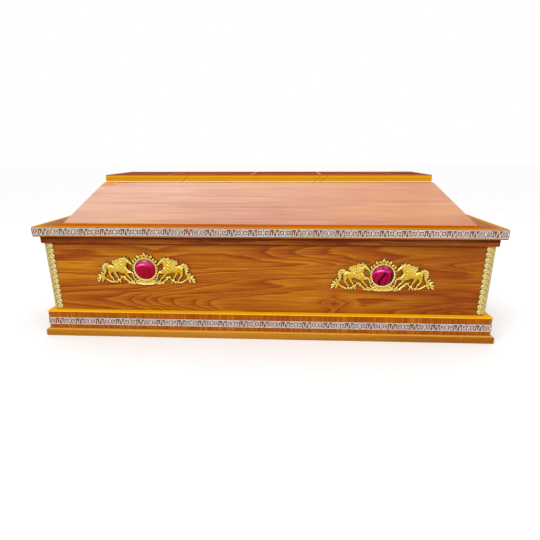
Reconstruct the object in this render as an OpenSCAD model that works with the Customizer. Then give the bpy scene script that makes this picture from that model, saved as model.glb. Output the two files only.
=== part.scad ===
// Veneered wooden coffin: a hollow chest on a plinth, a hipped lid that lifts off,
// inlaid fret bands, gilt corner angles and four gilt fittings with domed stones.
// Millimetres. +Z up, X along the length, the origin under the centre on the floor.

/* [Chest] */
// Outside length of the chest at the top of its walls' visible part
chest_len = 2128; // [1700:1:2500]
// Outside width of the chest at the same height
chest_wid = 628; // [520:1:800]
// Visible height of the chest walls, from plinth ledge to cornice
chest_h = 342; // [280:1:450]
// How far each wall leans in from top to bottom of that height
chest_lean = 6; // [2:0.5:15]
// Thickness of the chest boards
wall_t = 25; // [18:0.5:35]
// Thickness of the bottom board
bottom_t = 20; // [12:0.5:30]

/* [Plinth and foot] */
// Height of the foot moulding
foot_h = 36; // [24:1:50]
// How far the foot moulding stands out past the plinth face
foot_out = 15; // [8:1:30]
// How far the foot moulding runs in under the bottom board
foot_bearing = 18; // [10:1:40]
// Radius of the foot moulding's upper edge
foot_round = 9; // [3:0.5:12]
// Height of the plinth, with its cap
plinth_h = 92; // [80:1:150]
// How far the plinth face stands out past the foot of the chest
plinth_out = 30; // [20:1:50]
// Thickness of the plinth's cap strip
ledge_t = 5; // [4:0.5:16]
// How far that cap stands out past the plinth face
ledge_nose = 3; // [1:0.5:4]

/* [Cornice] */
// Height of the cornice under the lid
cornice_h = 37; // [24:1:60]
// How far the cornice stands out past the top of the chest
cornice_out = 14; // [10:1:30]
// Bevel along the cornice's lower edge
cornice_bevel = 4; // [1:0.5:8]

/* [Lid] */
// Height of the lid's rim
rim_h = 48; // [46:1:80]
// How far the rim stands out past the top of the chest
rim_out = 36; // [30:1:60]
// Thickness of the rim boards
rim_t = 25; // [12:0.5:25]
// Thickness of the flat frame inside the rim
frame_t = 20; // [12:0.5:28]
// Width of the flat ledge between the rim's face and the foot of the slopes
frame_show = 100; // [70:1:140]
// How far the flat frame runs in under the sloping boards
frame_under = 25; // [22:1:40]
// Height of the sloping part of the lid
slope_h = 193; // [120:1:300]
// How far the end slopes run in over that height
end_run = 200; // [100:1:300]
// How far the long slopes run in over that height
side_run = 64; // [30:1:100]
// Thickness of the sloping boards
slope_t = 18; // [10:0.5:24]
// Thickness of the lid's flat cap
cap_h = 37; // [24:1:50]
// How far the cap stands back from the top edge of the slopes
cap_back = 8; // [2:0.5:12]
// Width of the cap's edge moulding
cap_edge_w = 20; // [12:1:30]
// Radius of the edge moulding's arrises and of the bead along its foot
cap_round = 4; // [2:0.5:6]
// Gap round the cap board inside its moulding
cap_gap = 0.3; // [0.1:0.1:0.6]

/* [Fret bands] */
// Height of the inlaid fret bands
band_h = 35; // [28:1:44]
// How far the lid's band sits above the middle of the rim's face
lid_band_up = 1.5; // [-3:0.5:3]
// How far the plinth's band sits below the middle of the plinth's face
plinth_band_down = 4.5; // [-10:0.5:10]
// Thickness of the bands
band_t = 1.5; // [1:0.1:3]
// Width of the raised border lines along each band
band_line = 3; // [2:0.5:5]

/* [Corner angles] */
// Width of each flange of a corner angle
angle_w = 38; // [25:1:50]
// Thickness of a corner angle
angle_t = 2.5; // [1.5:0.1:4]
// Gap between a corner angle and the ledge below it
angle_foot = 6; // [2:1:40]
// Gap between a corner angle and the cornice above it
angle_head = 2; // [1:1:40]
// Number of roundels up each flange
roundels = 13; // [8:1:18]
// Height of the raised rail and roundels
angle_relief = 1.5; // [0.5:0.1:3]

/* [Fittings] */
// Distance of the left-hand stones' centres from the nearer end of the chest
fitting_left_in = 484; // [320:1:560]
// Distance of the right-hand stones' centres from the nearer end of the chest
fitting_right_in = 501; // [320:1:560]
// Distance of the left-hand stones' centres below the cornice
fitting_left_drop = 127; // [95:1:170]
// Distance of the right-hand stones' centres below the cornice
fitting_right_drop = 145; // [95:1:170]
// Radius of the round stones
stone_r = 51.5; // [35:0.5:58]
// How far a stone's dome rises above its seat
stone_rise = 17; // [8:0.5:25]
// Thickness of the fitting's back plate under the stone
seat_t = 4; // [2:0.5:6]
// Gap round a stone inside its bezel
stone_gap = 0.3; // [0.1:0.1:0.6]
// Width of the bezel ring
bezel_w = 8; // [5:0.5:10]

/* [Hidden] */
SIDES = ["front", "back", "head", "foot"];
CORNERS = ["front_head", "front_foot", "back_head", "back_foot"];
FITTINGS = ["front_left", "front_right", "back_left", "back_right"];
RING_PARTS = ["foot_moulding", "plinth_board", "plinth_cap", "plinth_band", "cornice",
    "lid_rim", "lid_band", "lid_frame", "lid_slope", "cap_edge"];

far = 3000;
// Every ring of mouldings is drawn once, by its half width, and moved out by this at the ends
end_shift = (chest_len - chest_wid) / 2;

// Heights
ledge_z = foot_h + plinth_h;
cornice_z = ledge_z + chest_h;
rim_z = cornice_z + cornice_h;
frame_z = rim_z + rim_h - frame_t;
slope_z = rim_z + rim_h;
cap_z = slope_z + slope_h;
top_z = cap_z + cap_h;

// Half widths
wall_b = chest_wid / 2;
lean_per_mm = chest_lean / chest_h;
function wall_at(z) = wall_b - (cornice_z - z) * lean_per_mm;
plinth_b = wall_at(ledge_z) + plinth_out;
foot_b = plinth_b + foot_out;
cornice_b = wall_b + cornice_out;
rim_b = wall_b + rim_out;
slope_b = rim_b - frame_show;
slope_a = slope_b + end_shift;
slope_top_b = slope_b - side_run;
slope_top_a = slope_a - end_run;
cap_b = slope_top_b - cap_back;
cap_shift = (slope_top_a - cap_back) - cap_b;

// Leaning of the chest walls, about the wall's foot and within the wall's own plane
lean_deg = atan(chest_lean / chest_h);
lean_side_deg = atan(chest_lean / norm([chest_lean, chest_h]));

// Room left round the bottom board
bottom_gap = 0.3;

// Places
plinth_face_h = plinth_h - ledge_t;
foot_inner_b = wall_at(foot_h) - wall_t - foot_bearing;
// Where the stones' centres are on a long wall, as [from the middle, above the ledge]
left_place = [fitting_left_in - chest_len / 2, chest_h - fitting_left_drop];
right_place = [chest_len / 2 - fitting_right_in, chest_h - fitting_right_drop];
stone_ball_r = (stone_r * stone_r + stone_rise * stone_rise) / (2 * stone_rise);

// ---- Helpers ----

function arc(centre, r, from, to, steps) =
    [for (i = [0:steps]) let (a = from + (to - from) * i / steps)
        centre + r * [cos(a), sin(a)]];

// Outline of a round-ended limb that tapers from radius rp at p to rq at q
function limb(p, q, rp, rq) =
    let (d = q - p, turn = atan2(d.y, d.x), side = acos((rp - rq) / norm(d)))
    concat(arc(p, rp, turn + side, turn + 360 - side, 5), arc(q, rq, turn - side, turn + side, 4));

// A chain of limbs through points given as [x, z, radius]
module chain(points) {
    for (i = [0:len(points) - 2])
        let (p = points[i], q = points[i + 1])
            polygon(limb([p.x, p.y], [q.x, q.y], p.z, q.z));
}

// The plan region that belongs to one side, cut at the mitres
module mitre_region(side, shift) {
    if (side == "front")
        polygon([[-shift, 0], [shift, 0], [shift + far, -far], [-shift - far, -far]]);
    else
        polygon([[shift, 0], [shift + far, -far], [shift + far, far]]);
}

// One straight member of a mitred ring. Its 2D profile is drawn as [half width, height]
module straight_member(side, shift) {
    intersection() {
        if (side == "front")
            rotate([0, 0, -90]) rotate([90, 0, 0])
                linear_extrude(height = 2 * (shift + far), center = true) children();
        else
            translate([shift, 0, 0]) rotate([90, 0, 0])
                linear_extrude(height = 2 * far, center = true) children();
        linear_extrude(height = far) mitre_region(side, shift);
    }
}

module ring_member(side, shift = end_shift) {
    if (side == "back")
        mirror([0, 1, 0]) straight_member("front", shift) children();
    else if (side == "head")
        mirror([1, 0, 0]) straight_member("foot", shift) children();
    else
        straight_member(side, shift) children();
}

// ---- Profiles, each as [half width, height] ----

module foot_profile() {
    polygon(concat(
        [[foot_inner_b, 0], [foot_b - foot_round / 3, 0], [foot_b, foot_round / 3]],
        arc([foot_b - foot_round, foot_h - foot_round], foot_round, 0, 90, 6),
        [[foot_inner_b, foot_h]]));
}

module plinth_profile() {
    cap_foot = ledge_z - ledge_t;
    polygon([[wall_at(foot_h), foot_h], [plinth_b, foot_h],
        [plinth_b, cap_foot], [wall_at(cap_foot), cap_foot]]);
}

module plinth_cap_profile() {
    cap_foot = ledge_z - ledge_t;
    r = ledge_nose / 2;
    polygon(concat(
        [[wall_at(cap_foot), cap_foot], [plinth_b + ledge_nose - r, cap_foot]],
        arc([plinth_b + ledge_nose - r, cap_foot + r], r, -60, 0, 2),
        arc([plinth_b + ledge_nose - r, ledge_z - r], r, 0, 90, 3),
        [[wall_at(ledge_z), ledge_z]]));
}

module wall_profile() {
    polygon([[wall_at(foot_h), foot_h], [wall_at(frame_z), frame_z],
        [wall_at(frame_z) - wall_t, frame_z], [wall_at(foot_h) - wall_t, foot_h]]);
}

module cornice_profile() {
    polygon([[wall_at(cornice_z), cornice_z], [cornice_b - cornice_bevel, cornice_z],
        [cornice_b, cornice_z + cornice_bevel], [cornice_b, rim_z], [wall_at(rim_z), rim_z]]);
}

module rim_profile() {
    r = 2;
    polygon(concat(
        [[rim_b - rim_t, rim_z], [rim_b - r, rim_z], [rim_b, rim_z + r]],
        arc([rim_b - r, slope_z - r], r, 0, 90, 3),
        [[rim_b - rim_t, slope_z]]));
}

module frame_profile() {
    translate([slope_b - frame_under, frame_z])
        square([frame_show - rim_t + frame_under, frame_t]);
}

// A flat band with a raised line along each edge, up from the middle of a face
module band_profile(face_b, face_z, face_h, up) {
    low = band_t * 0.6;
    foot_z = face_z + (face_h - band_h) / 2 + up;
    polygon([[face_b, foot_z], [face_b + band_t, foot_z], [face_b + band_t, foot_z + band_line],
        [face_b + low, foot_z + band_line], [face_b + low, foot_z + band_h - band_line],
        [face_b + band_t, foot_z + band_h - band_line], [face_b + band_t, foot_z + band_h],
        [face_b, foot_z + band_h]]);
}

// Flat face with a rounded upper arris, a shallow neck and a bead along the foot
module cap_edge_profile() {
    r = cap_round;
    face_b = cap_b - 1;
    polygon(concat(
        [[cap_b - cap_edge_w, cap_z], [cap_b - r, cap_z]],
        arc([cap_b - r, cap_z + r], r, -90, 60, 6),
        [[face_b - 2, cap_z + 2 * r], [face_b, cap_z + 2.5 * r]],
        arc([face_b - r, top_z - r], r, 0, 90, 5),
        [[cap_b - cap_edge_w, top_z]]));
}

// ---- Base ----

module foot_moulding(side) {
    color("#b8791f") ring_member(side) foot_profile();
}

module plinth_board(side) {
    color("#a5560f") ring_member(side) plinth_profile();
}

module plinth_cap(side) {
    color("#e59c10") ring_member(side) plinth_cap_profile();
}

module plinth_band(side) {
    color("#b9aea6") ring_member(side) band_profile(plinth_b, foot_h, plinth_face_h, -plinth_band_down);
}

// ---- Chest ----

module bottom_board() {
    half = wall_at(foot_h) - wall_t - bottom_gap;
    color("#8f5a2c")
        translate([-half - end_shift, -half, foot_h])
            cube([2 * (half + end_shift), 2 * half, bottom_t]);
}

module chest_board(side) {
    color("#a4530f") ring_member(side) wall_profile();
}

module cornice(side) {
    color("#7a330d") ring_member(side) cornice_profile();
}

// ---- Lid ----

module lid_rim(side) {
    color("#c9831a") ring_member(side) rim_profile();
}

module lid_band(side) {
    color("#c0b4ac") ring_member(side) band_profile(rim_b, rim_z, rim_h, lid_band_up);
}

module lid_frame(side) {
    color("#a2541c") ring_member(side) frame_profile();
}

// Solid pyramid slice between the foot and the top of the slopes, drawn in by (side_in, end_in)
module slope_block(side_in, end_in) {
    b = slope_b - side_in;
    a = slope_a - end_in;
    intersection() {
        rotate([0, 0, -90]) rotate([90, 0, 0])
            linear_extrude(height = 2 * far, center = true)
                polygon([[-b, slope_z], [b, slope_z], [b - side_run, cap_z],
                    [-b + side_run, cap_z]]);
        rotate([90, 0, 0])
            linear_extrude(height = 2 * far, center = true)
                polygon([[-a, slope_z], [a, slope_z], [a - end_run, cap_z],
                    [-a + end_run, cap_z]]);
    }
}

// Thickness of the sloping boards measured level, across the long sides and at the ends
slope_side_in = slope_t * norm([side_run, slope_h]) / slope_h;
slope_end_in = slope_t * norm([end_run, slope_h]) / slope_h;

// Plan region of one sloping board, cut along the hips, just deeper than the boards are thick
module hip_region(side) {
    hip = end_run / side_run;
    depth = max(slope_side_in, slope_end_in / hip) + 1;
    inner = [slope_top_a - depth * hip, slope_top_b - depth];
    outer = [slope_a + end_run, slope_b + side_run];
    if (side == "front")
        polygon([[-inner.x, -inner.y], [inner.x, -inner.y], [outer.x, -outer.y],
            [-outer.x, -outer.y]]);
    else
        polygon([[inner.x, -inner.y], [outer.x, -outer.y], [outer.x, outer.y],
            [inner.x, inner.y]]);
}

module one_slope(side) {
    intersection() {
        difference() {
            slope_block(0, 0);
            slope_block(slope_side_in, slope_end_in);
        }
        linear_extrude(height = far) hip_region(side);
    }
}

module lid_slope(side) {
    color("#e5b39a") {
        if (side == "back") mirror([0, 1, 0]) one_slope("front");
        else if (side == "head") mirror([1, 0, 0]) one_slope("foot");
        else one_slope(side);
    }
}

module cap_edge(side) {
    color("#d8960e") ring_member(side, cap_shift) cap_edge_profile();
}

module cap_board() {
    b = cap_b - cap_edge_w - cap_gap;
    a = b + cap_shift;
    color("#9c4d1c") translate([-a, -b, cap_z]) cube([2 * a, 2 * b, cap_h]);
}

// ---- Corner angles ----

// One flange, lying in the plane of the wall: x from the corner, z up the corner's edge
module angle_flange(corner_x) {
    z0 = angle_foot;
    tall = chest_h - angle_foot - angle_head;
    pitch = tall / roundels;
    r = pitch / 2 + 1;
    rail_w = angle_w - r;
    rotate([lean_deg, 0, 0]) rotate([0, -lean_side_deg, 0]) {
        rotate([90, 0, 0]) {
            linear_extrude(height = angle_t) {
                translate([corner_x, z0]) square([rail_w - corner_x, tall]);
                for (i = [0:roundels - 1])
                    translate([rail_w, z0 + pitch * (i + 0.5)]) circle(r = r, $fn = 32);
            }
            linear_extrude(height = angle_t + angle_relief) {
                translate([corner_x, z0]) square([rail_w * 0.45 - corner_x, tall]);
                for (i = [0:roundels - 1])
                    translate([rail_w, z0 + pitch * (i + 0.5)]) difference() {
                        circle(r = r * 0.8, $fn = 32);
                        circle(r = r * 0.5, $fn = 32);
                    }
            }
        }
    }
}

// The angle on the corner at the front of the head end
module angle_at_front_head() {
    b = wall_at(ledge_z);
    translate([-b - end_shift, -b, ledge_z]) {
        angle_flange(-angle_t);
        mirror([1, -1, 0]) angle_flange(-angle_t / 2);
    }
}

module corner_angle(corner) {
    color("#d2b565")
        if (corner == "front_head") angle_at_front_head();
        else if (corner == "front_foot") mirror([1, 0, 0]) angle_at_front_head();
        else if (corner == "back_head") mirror([0, 1, 0]) angle_at_front_head();
        else mirror([1, 0, 0]) mirror([0, 1, 0]) angle_at_front_head();
}

// ---- Fittings: a domed stone between two rearing horses over a scroll ----

// Chains of [x, z, radius] about the stone's centre, for the horse left of the stone
HORSE_BODY = [[-160, 5, 17], [-128, 5, 15], [-100, -4, 18]];
HORSE_NECK = [[-106, 6, 19], [-90, 36, 12], [-84, 46, 9], [-69, 27, 5]];
HORSE_TAIL = [[-174, 12, 6], [-186, 26, 10], [-201, 22, 11], [-204, 2, 7], [-199, -30, 4]];
RAISED_LEG = [[-98, -12, 10], [-80, -14, 6], [-64, -17, 5], [-58, -38, 3.5], [-50, -52, 4]];
FORE_LEG = [[-96, -18, 9], [-86, -38, 5], [-74, -46, 4], [-66, -58, 4]];
HIND_LEG = [[-166, -4, 13], [-171, -28, 6], [-158, -46, 4], [-152, -62, 4]];
FAR_LEG = [[-152, -8, 10], [-140, -32, 5], [-130, -54, 4]];
SCROLL_OUT = [[-212, -38, 8], [-192, -47, 4], [-178, -60, 5], [-160, -66, 5], [-138, -61, 4],
    [-122, -50, 4], [-113, -38, 6]];
SCROLL_LEAF = [[-134, -58, 4], [-121, -62, 8], [-115, -69, 4]];
SCROLL_IN = [[-100, -42, 4], [-90, -58, 5], [-74, -69, 6], [-56, -72, 7], [-43, -62, 5],
    [-30, -58, 5]];
SCROLL_JOIN = [[-113, -40, 4], [-100, -43, 4]];
END_LEAVES = [[-213, -20, 5], [-212, -40, 10], [-226, -52, 6], [-236, -62, 3]];
MANE = [[-149, 30, 8], [-140, 44, 9], [-126, 52, 9], [-111, 57, 9], [-97, 60, 8], [-84, 58, 6],
    [-136, 22, 10], [-121, 34, 11], [-106, 42, 10], [-124, 12, 9]];
// Crest leaves above the bezel as [angle, length past the stone, half width]
CREST = [[90, 31, 10], [77, 26, 7], [103, 26, 7], [63, 25, 8], [117, 25, 8], [42, 20, 8],
    [138, 20, 8]];
leaf_tip_r = 2.5;
// The horses are drawn out from this far left of the stone's centre, by this much
stretch_from = -60;
stretch = 1.075;
// What they have above this height over the stone's centre is pressed down to this share
mane_foot = 30;
squat = 0.72;
// Pedestal under the stone, as half widths and depths below the stone's centre
pedestal = [[40, stone_r - 4], [46, 70], [30, 76]];

scroll_depth = 7;
leg_depth = 10;
body_depth = 14;
mane_depth = 17;
bezel_depth = seat_t + 8;

function drawn_out(x) = stretch_from + (x - stretch_from) * (x < stretch_from ? stretch : 1);

function pressed_down(y) = mane_foot + (y - mane_foot) * (y > mane_foot ? squat : 1);

function on_horse(p) = [drawn_out(p.x), pressed_down(p.y), p.z];

// A chain of limbs on the horse's side of the stone
module horse_chain(points) {
    chain([for (p = points) on_horse(p)]);
}

module one_horse() {
    linear_extrude(height = scroll_depth) {
        horse_chain(SCROLL_OUT);
        horse_chain(SCROLL_IN);
        horse_chain(SCROLL_JOIN);
        horse_chain(END_LEAVES);
    }
    linear_extrude(height = leg_depth) {
        horse_chain(RAISED_LEG);
        horse_chain(FORE_LEG);
        horse_chain(HIND_LEG);
        horse_chain(FAR_LEG);
        horse_chain(SCROLL_LEAF);
        horse_chain(HORSE_TAIL);
    }
    linear_extrude(height = body_depth) {
        horse_chain(HORSE_BODY);
        horse_chain(HORSE_NECK);
    }
    linear_extrude(height = mane_depth)
        for (curl = MANE) {
            spot = on_horse(curl);
            translate([spot.x, spot.y]) circle(r = spot.z, $fn = 24);
        }
}

module setting() {
    hole_r = stone_r + stone_gap;
    rim_r = hole_r + bezel_w;
    beads = 24;
    linear_extrude(height = seat_t) circle(r = rim_r, $fn = 64);
    difference() {
        union() {
            linear_extrude(height = bezel_depth) circle(r = rim_r, $fn = 64);
            for (i = [0:beads - 1])
                rotate([0, 0, i * 360 / beads]) translate([rim_r, 0, 0])
                    cylinder(h = scroll_depth, r = 4, $fn = 16);
            linear_extrude(height = leg_depth) {
                for (leaf = CREST) {
                    up = [cos(leaf.x), sin(leaf.x)];
                    polygon(limb(up * (stone_r + bezel_w), up * (stone_r + leaf.y),
                        leaf.z, leaf_tip_r));
                }
                for (m = [0, 1]) mirror([m, 0])
                    polygon(concat([[0, -pedestal[0].y]], [for (p = pedestal) [p.x, -p.y]],
                        [[0, -pedestal[2].y]]));
            }
        }
        translate([0, 0, seat_t]) cylinder(h = far, r = hole_r, $fn = 64);
    }
}

// Puts a piece drawn flat, with its depth along +Z, onto the leaning front wall
module on_front_wall(spot) {
    translate([spot.x, -wall_at(ledge_z), ledge_z])
        rotate([lean_deg, 0, 0]) translate([0, 0, spot.y])
            rotate([90, 0, 0]) children();
}

module at_fitting(place) {
    if (place == "front_left") on_front_wall(left_place) children();
    else if (place == "front_right") on_front_wall(right_place) children();
    else if (place == "back_left") mirror([0, 1, 0]) on_front_wall(left_place) children();
    else mirror([0, 1, 0]) on_front_wall(right_place) children();
}

module fitting(place) {
    color("#d9b032") at_fitting(place) {
        one_horse();
        mirror([1, 0, 0]) one_horse();
        setting();
    }
}

module stone(place) {
    color("#b01438") at_fitting(place)
        intersection() {
            translate([0, 0, seat_t + stone_rise - stone_ball_r])
                sphere(r = stone_ball_r, $fn = 96);
            translate([0, 0, seat_t]) cylinder(h = stone_rise * 2, r = stone_r, $fn = 64);
        }
}

// ---- The pieces ----

for (s = SIDES) {
    foot_moulding(s);
    plinth_board(s);
    plinth_cap(s);
    plinth_band(s);
    cornice(s);
    lid_rim(s);
    lid_band(s);
    lid_frame(s);
    lid_slope(s);
    cap_edge(s);
}
bottom_board();
chest_board("front");  // side_board_front
chest_board("back");  // side_board_back
chest_board("head");  // end_board_head
chest_board("foot");  // end_board_foot
cap_board();
for (c = CORNERS)
    corner_angle(c);
for (f = FITTINGS) {
    fitting(f);
    stone(f);
}
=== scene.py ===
"""Looks of a wooden coffin: veneered chest, stepped plinth, hipped lid, fret bands and gilt fittings."""

from __future__ import annotations

import logging
import math
from dataclasses import dataclass
from dataclasses import field
from enum import Enum
from typing import Callable
from typing import Sequence
import bmesh
import bpy
import numpy as np
from mathutils import Matrix
from mathutils import Vector


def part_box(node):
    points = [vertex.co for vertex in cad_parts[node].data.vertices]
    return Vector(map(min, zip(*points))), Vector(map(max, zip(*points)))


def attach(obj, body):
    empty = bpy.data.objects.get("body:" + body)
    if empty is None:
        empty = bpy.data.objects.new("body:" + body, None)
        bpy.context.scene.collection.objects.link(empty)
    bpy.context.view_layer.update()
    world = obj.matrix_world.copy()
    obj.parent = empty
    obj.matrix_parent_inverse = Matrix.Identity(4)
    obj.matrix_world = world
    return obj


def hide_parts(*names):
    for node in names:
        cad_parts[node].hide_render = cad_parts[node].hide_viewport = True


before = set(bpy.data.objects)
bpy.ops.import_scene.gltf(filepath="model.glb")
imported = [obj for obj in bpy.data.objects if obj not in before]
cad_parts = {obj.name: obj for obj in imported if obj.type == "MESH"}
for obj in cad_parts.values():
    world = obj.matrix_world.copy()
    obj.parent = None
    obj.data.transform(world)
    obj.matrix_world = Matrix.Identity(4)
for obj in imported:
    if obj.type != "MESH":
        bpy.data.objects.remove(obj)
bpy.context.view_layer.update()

LOG = logging.getLogger("coffin")
MM = 0.001
UP = Vector((0.0, 0.0, 1.0))
# points and heights closer than this, in metres, are taken as one
SAME_POINT = 1e-6
SAME_HEIGHT = 1e-5
# degrees between two faces that are flat, or that are shaded as one
FLAT_ENOUGH = 0.5
SMOOTH_BOARD = 22.0
SMOOTH_STONE = 35.0
SMOOTH_CASTING = 60.0
# how far a face's normal has to turn for it to look in, or down
FACES_IN = -0.6
FACES_DOWN = -0.95
# a distance that is outside every shape, in millimetres
NOWHERE = 1e3
BOARDS = ("side_board", "end_board")

Socket = bpy.types.NodeSocket
Colour = tuple[float, float, float, float]


def linear(channel: float) -> float:
    """Turns one display channel from 0 to 1 into linear light."""
    return channel / 12.92 if channel <= 0.04045 else ((channel + 0.055) / 1.055) ** 2.4


def shade(code: str, gain: float = 1.0) -> Colour:
    """Turns a paint code of six hex digits into a linear colour.

    Args:
        code: Red, green and blue as two hex digits each.
        gain: What the linear colour is multiplied by.

    Returns:
        The colour with an alpha of one.
    """
    red, green, blue = (linear(int(code[i : i + 2], 16) / 255.0) * gain for i in (0, 2, 4))
    return (red, green, blue, 1.0)


class Side(Enum):
    """The four sides of a mitred ring, by the ends of a coffin."""

    FRONT = "front"
    BACK = "back"
    HEAD = "head"
    FOOT = "foot"

    @property
    def outward(self) -> Vector:
        """The way this side faces."""
        ways = {"front": (0, -1, 0), "back": (0, 1, 0), "head": (-1, 0, 0), "foot": (1, 0, 0)}
        return Vector(ways[self.value])

    @property
    def along(self) -> Vector:
        """The way to the right for someone who looks at this side."""
        return UP.cross(self.outward)

    @property
    def is_long(self) -> bool:
        """True for the front and the back."""
        return self in (Side.FRONT, Side.BACK)

    def pick(self, pair: tuple) -> object:
        """The first of a pair on a long side, the second on a short one."""
        return pair[0] if self.is_long else pair[1]

    def basis(self, lean: float = 0.0) -> Matrix:
        """Right, up and outward of this side as the columns of a matrix.

        Args:
            lean: How far the side leans outward towards its top, in radians.

        Returns:
            A 3 by 3 rotation.
        """
        rise = UP * math.cos(lean) + self.outward * math.sin(lean)
        out = self.outward * math.cos(lean) - UP * math.sin(lean)
        return Matrix((self.along, rise, out)).transposed()


class Lie(Enum):
    """Which way the grain runs: the axes along it, across it and through the board."""

    LONG_UPRIGHT = "XZY"
    SHORT_UPRIGHT = "YZX"
    LONG_FLAT = "XYZ"
    SHORT_FLAT = "YXZ"
    STANDING = "ZXY"


# ---------------------------------------------------------------- node trees


class Graph:
    """Short calls that make and join the nodes of one node tree."""

    def __init__(self, tree: bpy.types.NodeTree) -> None:
        """Takes the tree that the nodes go in."""
        self.tree = tree

    def node(self, kind: str, **settings: object) -> bpy.types.Node:
        """Adds one node.

        Args:
            kind: The node's type name.
            **settings: Attributes to set on it.

        Returns:
            The new node.
        """
        made = self.tree.nodes.new(kind)
        for name, value in settings.items():
            setattr(made, name, value)
        return made

    def feed(self, socket: Socket, value: object) -> None:
        """Joins an output to a socket, or sets the socket to a plain value.

        Args:
            socket: The socket to feed.
            value: An output socket or a plain value.
        """
        if isinstance(value, bpy.types.NodeSocket):
            self.tree.links.new(value, socket)
        else:
            socket.default_value = value

    def maths(self, operation: str, *values: object, clamp: bool = False) -> Socket:
        """One Math node's output.

        Args:
            operation: The name of the sum.
            *values: Sockets or numbers, in order.
            clamp: True to keep the answer between 0 and 1.

        Returns:
            The output socket.
        """
        made = self.node("ShaderNodeMath", operation=operation, use_clamp=clamp)
        for socket, value in zip(made.inputs, values):
            self.feed(socket, value)
        return made.outputs[0]

    def times(self, *values: object, clamp: bool = False) -> Socket:
        """The product of two values."""
        return self.maths("MULTIPLY", *values, clamp=clamp)

    def plus(self, *values: object, clamp: bool = False) -> Socket:
        """The sum of two values."""
        return self.maths("ADD", *values, clamp=clamp)

    def minus(self, *values: object) -> Socket:
        """The first value less the second."""
        return self.maths("SUBTRACT", *values)

    def reach(self, x: Socket, y: Socket) -> Socket:
        """The length of a flat vector."""
        return self.maths("SQRT", self.plus(self.times(x, x), self.times(y, y)))

    def place(self) -> Socket:
        """The place on the object."""
        return self.node("ShaderNodeTexCoord").outputs["Object"]

    def spread(self, value: object, low: float, high: float, to: tuple[float, float] = (0.0, 1.0)) -> Socket:
        """A clamped, smooth change of range.

        Args:
            value: The socket to change.
            low: Where the change starts.
            high: Where it ends.
            to: What the two ends become.

        Returns:
            The output socket.
        """
        made = self.node("ShaderNodeMapRange", interpolation_type="SMOOTHSTEP")
        for socket, item in zip(made.inputs, (value, low, high, *to)):
            self.feed(socket, item)
        return made.outputs[0]

    def split(self, vector: Socket) -> tuple[Socket, Socket, Socket]:
        """The three parts of a vector.

        Args:
            vector: The vector.

        Returns:
            Its x, y and z.
        """
        made = self.node("ShaderNodeSeparateXYZ")
        self.feed(made.inputs[0], vector)
        return made.outputs[0], made.outputs[1], made.outputs[2]

    def join(self, x: object, y: object, z: object) -> Socket:
        """A vector made from three parts.

        Args:
            x: Its first part.
            y: Its second part.
            z: Its third part.

        Returns:
            The vector.
        """
        made = self.node("ShaderNodeCombineXYZ")
        for socket, value in zip(made.inputs, (x, y, z)):
            self.feed(socket, value)
        return made.outputs[0]

    def noise(self, vector: Socket, scale: float, detail: float = 2.0, rough: float = 0.5) -> Socket:
        """Smooth noise round one half.

        Args:
            vector: Where the noise is read.
            scale: Its frequency.
            detail: How many octaves it has.
            rough: How strong the finer octaves are.

        Returns:
            The noise's value.
        """
        made = self.node("ShaderNodeTexNoise")
        self.feed(made.inputs["Vector"], vector)
        made.inputs["Scale"].default_value = scale
        made.inputs["Detail"].default_value = detail
        made.inputs["Roughness"].default_value = rough
        return made.outputs[0]

    def blend(self, amount: object, low: object, high: object, mode: str = "MIX") -> Socket:
        """A mix of two colours.

        Args:
            amount: How much of the second colour.
            low: The first colour.
            high: The second colour.
            mode: The name of the mixing.

        Returns:
            The mixed colour.
        """
        made = self.node("ShaderNodeMix", data_type="RGBA", blend_type=mode)
        self.feed(made.inputs[0], amount)
        self.feed(made.inputs[6], low)
        self.feed(made.inputs[7], high)
        return made.outputs[2]

    def tint(
        self, colour: object, value: Socket, low: float, high: float, code: str, weight: float = 1.0
    ) -> Socket:
        """Lays a paint over a colour as a value goes from low to high.

        Args:
            colour: The colour underneath.
            value: What the paint follows.
            low: Where the paint starts.
            high: Where it is whole.
            code: The paint code.
            weight: How much of the paint is laid.

        Returns:
            The painted colour.
        """
        mask = self.spread(value, low, high)
        if weight < 1.0:
            mask = self.times(mask, weight)
        return self.blend(mask, colour, shade(code))

    def bump(self, surface: bpy.types.Node, strength: float, distance: float, height: Socket) -> None:
        """Gives a surface a fine relief.

        Args:
            surface: The surface's shader node.
            strength: How strong the relief is.
            distance: How high it is, in metres.
            height: Its height from 0 to 1.
        """
        made = self.node("ShaderNodeBump")
        made.inputs["Strength"].default_value = strength
        made.inputs["Distance"].default_value = distance
        self.feed(made.inputs["Height"], height)
        self.feed(surface.inputs["Normal"], made.outputs[0])

    def ramp(self, value: Socket, stops: Sequence[tuple[float, Colour]]) -> Socket:
        """A colour ramp.

        Args:
            value: Where on the ramp.
            stops: Places and their colours, in order.

        Returns:
            The colour.
        """
        made = self.node("ShaderNodeValToRGB")
        elements = made.color_ramp.elements
        while len(elements) < len(stops):
            elements.new(0.5)
        for element, (place, colour) in zip(elements, stops):
            element.position = place
            element.color = colour
        self.feed(made.inputs[0], value)
        return made.outputs[0]

    def effect(self, name: str, **values: object) -> bpy.types.Node:
        """Places a shared node group and feeds its named inputs.

        Args:
            name: The group's name.
            **values: Sockets or plain values, with _ for a space in a name.

        Returns:
            The group node.
        """
        made = self.node("ShaderNodeGroup", node_tree=bpy.data.node_groups[name])
        for key, value in values.items():
            self.feed(made.inputs[key.replace("_", " ")], value)
        return made


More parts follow.
